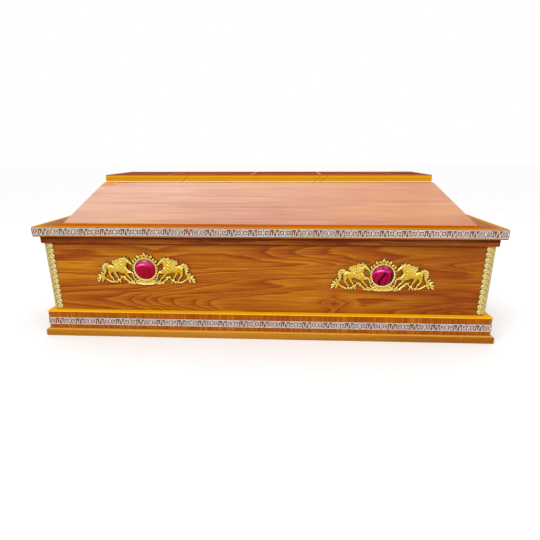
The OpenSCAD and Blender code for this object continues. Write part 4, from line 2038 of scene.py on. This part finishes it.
    def lock(
        self, start: tuple[float, float], turn: float, length: float, curl: float, radius: float
    ) -> list[list[float]]:
        """A curved lock that thins to a hooked tip.

        Args:
            start: Its root.
            turn: The way it sets off, in radians.
            length: Its length.
            curl: How fast it turns, in radians to the millimetre.
            radius: Half its width at the root.

        Returns:
            Rows of x, y and radius.
        """
        x, y = start
        rows = []
        count = 7
        for k in range(count):
            share = k / (count - 1)
            rows.append([x, y, radius * (1.0 - 0.72 * share**1.3)])
            turn += curl * (0.4 + 1.6 * share) * length / count
            x += math.cos(turn) * length / count
            y += math.sin(turn) * length / count
        return rows

    def leaf(
        self, work: Relief, x: float, y: float, turn: float, length: float, half: float, rise: float
    ) -> None:
        """Raises a pointed leaf with a cut vein.

        Args:
            work: The relief to add to.
            x: Its root.
            y: Its root.
            turn: The way it points, in radians.
            length: Its length.
            half: Half its greatest width.
            rise: Height of its crown.
        """
        c, s = math.cos(turn), math.sin(turn)
        widths = ((0.0, 0.45), (0.3, 0.95), (0.55, 1.0), (0.8, 0.6), (1.0, 0.15))
        path = [[x + c * length * t, y + s * length * t, max(0.7, half * w)] for t, w in widths]
        work.limb(path, rise, 0.35, strands=1.0, strand_depth=-1.1)
        for sign in (1.0, -1.0):
            tip = turn + sign * 0.75
            root = (x + c * length * 0.3, y + s * length * 0.3)
            lobe = length * 0.42
            lobe_x, lobe_y = math.cos(tip) * lobe, math.sin(tip) * lobe
            widths = ((0.2, 0.6), (0.65, 0.5), (1.0, 0.22))
            points = [[root[0] + lobe_x * t, root[1] + lobe_y * t, half * w] for t, w in widths]
            work.limb(points, rise - 1.5, 0.35)

    def scroll(self, work: Relief) -> None:
        """Raises the leafy scrolls under the horse.

        Args:
            work: The relief to add to.
        """
        for path, rise in ((self.OUTER, 7.5), (self.INNER, 8.0)):
            work.limb(path, rise, 0.35, strands=1.0, strand_depth=1.4)
        work.limb([[-113, -40, 4], [-106, -42, 5], [-99, -42, 4]], 8.5, 0.4)
        work.limb([[-198, -30, 6], [-206, -42, 9], [-202, -50, 7]], 9.5, 0.4)
        for x, y, turn, length, half in self.LEAVES:
            self.leaf(work, x, y, turn, length, half, 9.5)
        for x, y, r in self.BERRIES:
            work.bead(x, y, r, 7.0, 0.9)

    def spoke(self, far: float, angle: float) -> tuple[float, float]:
        """The spot at a distance and an angle from the stone's middle."""
        return far * math.cos(angle), far * math.sin(angle)

    def setting(self, work: Relief) -> None:
        """Raises the bezel and its crown of leaves, curls and beads.

        Args:
            work: The relief to add to.
        """
        inner, outer = self.stone + 0.3, self.stone + 8.5
        far = np.hypot(work.gx, work.gy)
        ring = np.maximum(inner - far, far - outer)
        lap = np.abs(far - (inner + outer) / 2) / ((outer - inner) / 2)
        work.edge = np.minimum(work.edge, far - outer)
        raised = 6.5 + 3.0 * np.sqrt(np.clip(1.0 - lap**2, 0.0, 1.0))
        work.height = np.where(ring < 1.0, np.maximum(work.height, raised), work.height)
        for k in range(self.BEZEL_BEADS):
            spot = self.spoke(self.stone + 3.0, 2 * math.pi * k / self.BEZEL_BEADS)
            work.bead(*spot, 2.2, 8.6, 1.0)
        for k in range(self.BEZEL_LOBES):
            angle = 2 * math.pi * k / self.BEZEL_LOBES + 0.12
            near, past = self.spoke(self.stone + 6.0, angle), self.spoke(self.stone + 10.0, angle)
            work.limb([[*near, 2.6], [*past, 3.1]], 9.0, 0.4)
        root = self.stone + 8.0
        for off, length, half in self.CROWN:
            for sign in (1.0, -1.0) if off else (1.0,):
                angle = math.radians(90.0 + sign * off)
                self.leaf(work, *self.spoke(root, angle), angle, length, half, 12.0)
        for k in range(self.CURLS):
            angle = math.radians(18 + 16 * k)
            work.limb(self.lock(self.spoke(root + 2, angle), angle + 0.9, 15, 0.16, 3.0), 11.5, 0.35)
            work.bead(*self.spoke(root + 9, angle), 3.2, 8.5, 0.9)
        for k in range(self.CURLS - 1):
            angle = math.radians(26 + 16 * k)
            work.pierce(*self.spoke(root + 5.0, angle), 3.8, 2.0, angle + math.pi / 2)

    def foot_lattice(self, work: Relief) -> None:
        """Raises the shell and lattice foot under the stone.

        Args:
            work: The relief to add to.
        """
        half = np.interp(work.gy, [-77, -70, -46], [30, 47, 40])
        gap = np.maximum(np.abs(work.gx) - half, np.maximum(work.gy + 44, -77 - work.gy))
        work.edge = np.minimum(work.edge, gap)
        rising, falling = (work.gx + work.gy) * 0.62, (work.gx - work.gy) * 0.62
        lattice = 5.2 + 1.6 * np.maximum(np.cos(rising), np.cos(falling))
        outside = np.hypot(work.gx, work.gy) > self.stone + 1.0
        work.height = np.where((gap < 1.0) & outside, np.maximum(work.height, lattice), work.height)
        work.limb(self.SHELL_RIM, 8.5, 0.4)
        for k in range(9):
            angle = math.radians(-150 + 15 * k)
            work.limb([[*self.spoke(53, angle), 2.0], [*self.spoke(66, angle), 2.8]], 9.5, 0.35)
        for x in range(-36, 37, 8):
            work.bead(x, -70.0, 2.4, 6.5, 0.9)

    def cast(self) -> bpy.types.Mesh:
        """Makes the mesh that the four fittings share.

        Returns:
            The casting's mesh.
        """
        work = Relief((-238.4, -90.4), (238.4, 92.0), self.step)
        self.scroll(work)
        self.horse(work)
        self.hair(work)
        work.mirror()
        self.foot_lattice(work)
        self.setting(work)
        well = np.hypot(work.gx, work.gy) < self.stone + 0.3
        work.height = np.where(well, self.seat - 0.1, work.height)
        work.height = np.minimum(work.height, self.crest)
        shape = work.mesh("fitting", self.KEPT)
        for vertex in shape.vertices:
            past = abs(vertex.co.x) / MM - self.stretch_from
            over = vertex.co.y / MM - self.mane_foot
            if past <= 0.0:
                continue
            vertex.co.x = math.copysign((self.stretch_from + past * self.stretch) * MM, vertex.co.x)
            if over > 0.0:
                kept = 1.0 - (1.0 - self.squat) * min(1.0, past / self.LOWER_OVER)
                vertex.co.y = (self.mane_foot + over * kept) * MM
        return shape

    def cabochon(self) -> bpy.types.Mesh:
        """Makes the stone as a turned dome with a closed back.

        Returns:
            The stone's mesh.
        """
        ball = (self.stone**2 + self.dome**2) / (2 * self.dome)
        rings, around = 22, 72
        points = [(0.0, 0.0, self.seat + self.dome)]
        for i in range(1, rings + 1):
            radius = self.stone * math.sin(math.pi / 2 * i / rings)
            height = self.seat + self.dome - ball + math.sqrt(max(0.0, ball**2 - radius**2))
            points += [(*self.spoke(radius, 2 * math.pi * k / around), height) for k in range(around)]
        base = len(points)
        points += [(x, y, self.seat - 0.6) for x, y, _ in points[base - around : base]]
        faces = [(0, 1 + k, 1 + (k + 1) % around) for k in range(around)]
        for a in range(1, base, around):
            b = a + around
            for k in range(around):
                n = (k + 1) % around
                faces.append((a + k, b + k, b + n, a + n))
        faces.append(tuple(reversed(range(base, base + around))))
        mesh = bpy.data.meshes.new("cabochon")
        mesh.from_pydata([tuple(c * MM for c in p) for p in points], [], faces)
        mesh.update()
        soften(mesh, SMOOTH_STONE)
        return mesh

    def build(self) -> list[bpy.types.Object]:
        """Makes the four fittings and their stones.

        Returns:
            The castings and the stones.
        """
        shape, dome = self.cast(), self.cabochon()
        shape.materials.append(YELLOW_GILT.dress())
        made = []
        for side in (Side.FRONT, Side.BACK):
            wall = Wall.of(side)
            for hand in ("left", "right"):
                place = f"{side.value}_{hand}"
                low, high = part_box(f"stone_{place}")
                middle = (low + high) / 2
                z = middle.z + math.sin(wall.lean) * (self.seat + self.dome / 2) * MM
                seat = wall.seat(middle.dot(side.along), z)
                body = keep(shape, f"fitting_{place}-cast", [f"fitting_{place}"])
                body.matrix_world = seat
                gem_mesh = dome.copy()
                gem_mesh.materials.append(STONES[hand].dress())
                gem = keep(gem_mesh, f"stone_{place}-cabochon", [f"stone_{place}"])
                gem.matrix_world = seat
                made += [body, gem]
        return made


# ---------------------------------------------------------------- the coffin


MOULDED = {
    "along": 0.6,
    "across": 30.0,
    "rings": 4.0,
    "ring_depth": 0.2,
    "cloud_depth": 0.3,
    "fibre_across": 200.0,
    "roughness": 0.25,
}
STONES = {
    "left": Ruby(
        "ruby_smooth",
        body="9c0420",
        fold="6c0212",
        flare="c81484",
        crown="a42c54",
        folds=(
            Fold(-0.026, 0.003, 50.0, 0.4, 0.0045, 0.6),
            Fold(-0.004, 0.003, 60.0, 1.6, 0.0040, 0.5),
            Fold(0.017, 0.003, 55.0, 2.8, 0.0045, 0.6),
        ),
    ),
    "right": Ruby(
        "ruby_folded",
        body="a40238",
        fold="2c020e",
        flare="cc1480",
        crown="9c0e38",
        folds=(
            Fold(-0.005, 0.012, 62.0, 0.3, 0.0110, 1.0),
            Fold(0.015, 0.006, 70.0, 1.1, 0.0045, 0.8),
            Fold(0.035, 0.006, 55.0, 1.4, 0.0080, 0.9),
            Fold(-0.036, 0.004, 45.0, 0.8, 0.0050, 0.5),
        ),
    ),
}
BAND_GROUND = Timber(
    "band_ground",
    "5c3822",
    "764c2e",
    "906440",
    across=40.0,
    ring_depth=0.2,
    wear=0.0,
    lustre=0.1,
)
CHEST = Timber(
    "chest_veneer",
    "742800",
    "a35006",
    "c4820c",
    along=0.55,
    across=6.0,
    rings=9.0,
    ring_depth=0.58,
    sharpness=3.6,
    fibre_along=4.0,
    fibre_across=240.0,
    fibre_depth=0.62,
    cloud_depth=0.28,
    roughness=0.26,
    lustre=0.15,
    coat=0.25,
    seed=4.2,
    scuffed=0.06,
    gain=0.875,
    overlay=Overlay.chest_tone,
    knots=(
        Knot(0.34, 0.178, 0.036, 0.018, 0.56),
        Knot(-0.51, 0.51, 0.13, 0.055, 0.40),
        Knot(0.92, 0.140, 0.20, 0.036, 0.26),
    ),
    arches=(
        Arch(-0.58, 0.185, 0.075, 0.050, 0.55),
        Arch(-0.32, 0.165, 0.060, 0.030, 0.40),
        Arch(0.12, 0.430, 0.160, 0.030, 0.35),
    ),
)
PLINTH = Timber(
    "plinth_veneer",
    "762a00",
    "9c4e05",
    "c08010",
    along=0.5,
    across=40.0,
    rings=6.0,
    ring_depth=0.26,
    fibre_along=2.0,
    fibre_across=150.0,
    fibre_depth=0.58,
    cloud_depth=0.22,
    lustre=0.1,
    coat=0.12,
    gain=0.93,
)
CORNICE = Timber(
    "cornice_wood",
    "5c1c02",
    "803a06",
    "9c540e",
    across=14.0,
    ring_depth=0.45,
    fibre_across=160.0,
    fibre_depth=0.4,
    lustre=0.1,
    coat=0.2,
    overlay=Overlay.cornice_tone,
)
AMBER = Timber(
    "amber_edge",
    "cf8c0c",
    "e6a814",
    "f4ba20",
    lustre=0.0,
    coat=0.06,
    gain=0.96,
    **MOULDED,
)
RIM = Timber(
    "rim_amber",
    "c88206",
    "df9712",
    "eeaa20",
    lustre=0.0,
    coat=0.03,
    gain=0.77,
    overlay=Overlay.rim_face,
    **MOULDED,
)
CAP_EDGE = Timber(
    "cap_edge_amber",
    "c88206",
    "d89508",
    "e2a414",
    lustre=0.05,
    coat=0.06,
    gain=0.78,
    overlay=Overlay.cap_edge_bands,
    **MOULDED,
)
FOOT = Timber(
    "foot_wood",
    "9c5c0c",
    "b47618",
    "c88824",
    along=0.8,
    across=16.0,
    rings=5.0,
    ring_depth=0.3,
    fibre_across=180.0,
    scuffed=0.8,
    lustre=0.1,
    coat=0.12,
    gain=0.80,
    overlay=Overlay.foot_bands,
)
LEDGE = Timber(
    "ledge_wood",
    "b04c02",
    "c96206",
    "d8740c",
    across=14.0,
    ring_depth=0.3,
    lustre=0.0,
    coat=0.06,
    roughness=0.2,
    gain=0.82,
)
# the ledge's ends: its wood with a heavier coat, and a paler colour that is partly a painted reflection of
# the pale room at a grazing angle
LEDGE_ENDS = Timber(
    "ledge_end_wood",
    "95502c",
    "ab6a42",
    "bd8058",
    across=14.0,
    ring_depth=0.35,
    lustre=0.0,
    coat=0.3,
    roughness=0.2,
    gain=0.85,
)
CAP = Timber(
    "cap_wood",
    "6e2804",
    "944812",
    "a85c24",
    along=0.7,
    across=18.0,
    ring_depth=0.6,
    fibre_along=5.0,
    fibre_across=90.0,
    fibre_depth=0.5,
    roughness=0.5,
    lustre=0.0,
    coat=0.02,
    overlay=Overlay.cap_seams,
)
SLOPE = Timber(
    "slope_veneer",
    "d4a08e",
    "e2b49e",
    "ecc29a",
    along=0.5,
    across=16.0,
    rings=4.0,
    ring_depth=0.35,
    sharpness=2.2,
    fibre_along=4.5,
    fibre_across=120.0,
    fibre_depth=0.6,
    cloud_depth=0.5,
    roughness=0.35,
    lustre=0.0,
    coat=0.1,
    wear=0.15,
    scuffed=0.0,
    gain=0.80,
    overlay=Overlay.slope_tone,
)

LONG_UP = (Lie.LONG_UPRIGHT, Lie.SHORT_UPRIGHT)
LONG_FLAT = (Lie.LONG_FLAT, Lie.SHORT_FLAT)
STANDING = (Lie.STANDING, Lie.STANDING)


@dataclass
class Base:
    """The foot moulding, the plinth, its amber ledge and its fret band."""

    def build(self) -> list[bpy.types.Object]:
        """Makes the base's pieces.

        Returns:
            The pieces.
        """
        parts = (
            MitredRing("foot_moulding", "foot_wood", FOOT, LONG_UP),
            MitredRing("plinth_board", "plinth_veneer", PLINTH, STANDING),
            MitredRing("plinth_cap", "amber_edge", AMBER, LONG_FLAT),
            FretBand("plinth_band"),
        )
        return [piece for part in parts for piece in part.build()]


@dataclass
class Chest:
    """The chest's boards, its cornice and its gilt fittings."""

    def build(self) -> list[bpy.types.Object]:
        """Makes the chest's pieces.

        Returns:
            The pieces.
        """
        joinery = Joinery()
        made = []
        for side in Side:
            lie = side.pick(LONG_UP)
            node = f"{side.pick(BOARDS)}_{side.value}"
            face, raw = CHEST.dress(lie), RAW.dress(lie)
            made.append(joinery.plane(node, "chest_veneer", face, raw, inward(side)))
        raw = RAW.dress(Lie.LONG_FLAT)
        made.append(joinery.plane("bottom_board", "raw_board", raw, raw, lambda normal: False))
        made += MitredRing("cornice", "cornice_wood", CORNICE, LONG_UP).build()
        made += CornerAngle().build()
        made += Fitting().build()
        return made


@dataclass
class Lid:
    """The rim with its fret band, the ledge, the hipped slopes and the cap."""

    def build(self) -> list[bpy.types.Object]:
        """Makes the lid's pieces.

        Returns:
            The pieces.
        """
        made = MitredRing("lid_rim", "amber_edge", RIM, LONG_FLAT).build()
        made += FretBand("lid_band").build()
        made += MitredRing("lid_frame", "ledge_wood", LEDGE, LONG_FLAT, ends=LEDGE_ENDS).build()
        made += self.slopes()
        made += MitredRing("cap_edge", "amber_edge", CAP_EDGE, LONG_UP, Joinery(arris=0.0006)).build()
        raw = RAW.dress(Lie.LONG_FLAT)
        cap = Joinery().plane("cap_board", "cap_wood", CAP.dress(Lie.LONG_FLAT), raw, lambda n: n.z < -0.5)
        made.append(cap)
        return made

    def slopes(self) -> list[bpy.types.Object]:
        """Makes the four sloping boards.

        Returns:
            The boards.
        """
        made = []
        joinery = Joinery(arris=0.0008)
        for side in Side:
            lie = side.pick(LONG_UP)
            face, raw = SLOPE.dress(lie), RAW.dress(lie)
            node = f"lid_slope_{side.value}"
            made.append(joinery.plane(node, "slope_veneer", face, raw, lambda n: n.z < -0.2))
        return made


# ---------------------------------------------------------------- the studio


@dataclass
class Studio:
    """A pale floor, soft lamps and the camera.

    Attributes:
        eye: The camera's place, in metres.
        yaw: How far it is turned to the left, in radians.
        pitch: How far it looks down.
        roll: How far it is turned about its own axis.
        lens: Focal length, in millimetres.
        sensor: Width of the sensor, in millimetres.
        target: What the lamps point at.
    """

    eye: tuple[float, float, float] = (0.1312, -2.2411, 0.8883)
    yaw: float = -0.0538
    pitch: float = 0.2740
    roll: float = -0.0032
    lens: float = 27.85
    sensor: float = 36.0
    target: tuple[float, float, float] = (0.0, 0.0, 0.35)

    WHITE = (1.0, 1.0, 1.0, 1.0)
    ROOM = (0.84, 0.84, 0.84, 1.0)
    ROOM_IN_MIRROR = (
        (0.0, (0.38, 0.36, 0.34, 1.0)),
        (0.4, (0.55, 0.54, 0.52, 1.0)),
        (1.0, (1.1, 1.1, 1.1, 1.0)),
    )
    FLOOR = ((0.93, 0.93, 0.93, 1.0), (0.95, 0.95, 0.95, 1.0))
    FLOOR_IN_MIRROR = (0.12, 0.11, 0.10, 1.0)
    FLOOR_RADIUS = 30.0
    SUN_AT = (-1.4, -3.0, 3.2)
    SUN_WIDTH = 50.0
    LAMPS = (
        ("front_lamp", (-1.6, -2.6, 2.6), (1.2, 0.7), 22.0),
        ("side_lamp", (1.9, -2.4, 2.2), (0.8, 0.8), 12.0),
        ("back_lamp", (1.2, 2.8, 2.6), (1.2, 0.7), 16.0),
    )

    def build(self) -> None:
        """Makes the studio."""
        self.camera()
        self.floor()
        self.sky()
        self.lamps()
        scene = bpy.context.scene
        scene.view_settings.view_transform = "Standard"
        scene.view_settings.look = "None"

    def camera(self) -> None:
        """Makes the camera and gives it to the scene."""
        forward = Vector(
            (
                math.sin(self.yaw) * math.cos(self.pitch),
                math.cos(self.yaw) * math.cos(self.pitch),
                -math.sin(self.pitch),
            )
        )
        level = Vector((math.cos(self.yaw), -math.sin(self.yaw), 0.0))
        rise = level.cross(forward)
        right = level * math.cos(self.roll) + rise * math.sin(self.roll)
        top = right.cross(forward)
        data = bpy.data.cameras.new("view_camera")
        data.sensor_width = self.sensor
        data.lens = self.lens
        data.clip_start = 0.05
        data.clip_end = 100.0
        made = put("view_camera", data)
        turn = Matrix((right, top, -forward)).transposed().to_4x4()
        made.matrix_world = Matrix.Translation(Vector(self.eye)) @ turn
        bpy.context.scene.camera = made

    def floor(self) -> None:
        """Makes the pale floor as a round sheet."""
        work = bmesh.new()
        bmesh.ops.create_circle(work, cap_ends=True, radius=self.FLOOR_RADIUS, segments=96)
        made, g, surface = blank_material("pale_floor")
        place = g.place()
        tone = g.spread(g.noise(place, 3.0, 3.0, 0.5), 0.3, 0.7, (0.0, 1.0))
        pale = g.blend(tone, *self.FLOOR)
        mirror = g.node("ShaderNodeLightPath").outputs["Is Glossy Ray"]
        g.feed(surface.inputs["Base Color"], g.blend(mirror, pale, self.FLOOR_IN_MIRROR))
        surface.inputs["Roughness"].default_value = 0.9
        surface.inputs["Specular IOR Level"].default_value = 0.1
        put("floor", settle(work, "floor_sheet", made))

    def sky(self) -> None:
        """Lights the room softly all round, white behind the object."""
        world = bpy.data.worlds.new("studio_room")
        world.use_nodes = True
        world.node_tree.nodes.clear()
        g = Graph(world.node_tree)
        rays = g.node("ShaderNodeLightPath")
        look = g.node("ShaderNodeTexCoord").outputs["Generated"]
        _, _, up = g.split(look)
        mirror = g.ramp(g.spread(up, -0.1, 0.9), self.ROOM_IN_MIRROR)
        room = g.blend(rays.outputs["Is Glossy Ray"], self.ROOM, mirror)
        shown = g.blend(rays.outputs["Is Camera Ray"], room, self.WHITE)
        back = g.node("ShaderNodeBackground")
        g.feed(back.inputs["Color"], shown)
        ending = g.node("ShaderNodeOutputWorld")
        g.feed(ending.inputs["Surface"], back.outputs[0])
        bpy.context.scene.world = world

    def lamps(self) -> None:
        """Hangs a wide, soft sun and two lamps that give the gilt its sparkle."""
        sun = bpy.data.lights.new("soft_sun", "SUN")
        sun.energy = 1.0
        sun.angle = math.radians(self.SUN_WIDTH)
        self.hang(sun, self.SUN_AT)
        for name, place, size, watts in self.LAMPS:
            data = bpy.data.lights.new(name, "AREA")
            data.shape = "RECTANGLE"
            data.size, data.size_y = size
            data.energy = watts
            self.hang(data, place)

    def hang(self, data: bpy.types.Light, place: tuple[float, float, float]) -> None:
        """Hangs a lamp that points at the coffin.

        Args:
            data: The lamp.
            place: Where it hangs.
        """
        made = put(data.name, data)
        aim = Vector(self.target) - Vector(place)
        made.location = place
        made.rotation_euler = aim.to_track_quat("-Z", "Y").to_euler()


def main() -> None:
    """Builds the studio and the coffin, and reports each piece."""
    logging.basicConfig(level=logging.INFO, format="%(name)s: %(message)s")
    Effects().build()
    Studio().build()
    total = 0
    for part in (Base(), Chest(), Lid()):
        for piece in part.build():
            count = triangles(piece)
            total += count
            LOG.info("%s: %s, %d triangles", type(part).__name__, piece.name, count)
    LOG.info("%d triangles in all", total)
    bpy.context.view_layer.update()


if __name__ == "__main__":
    main()
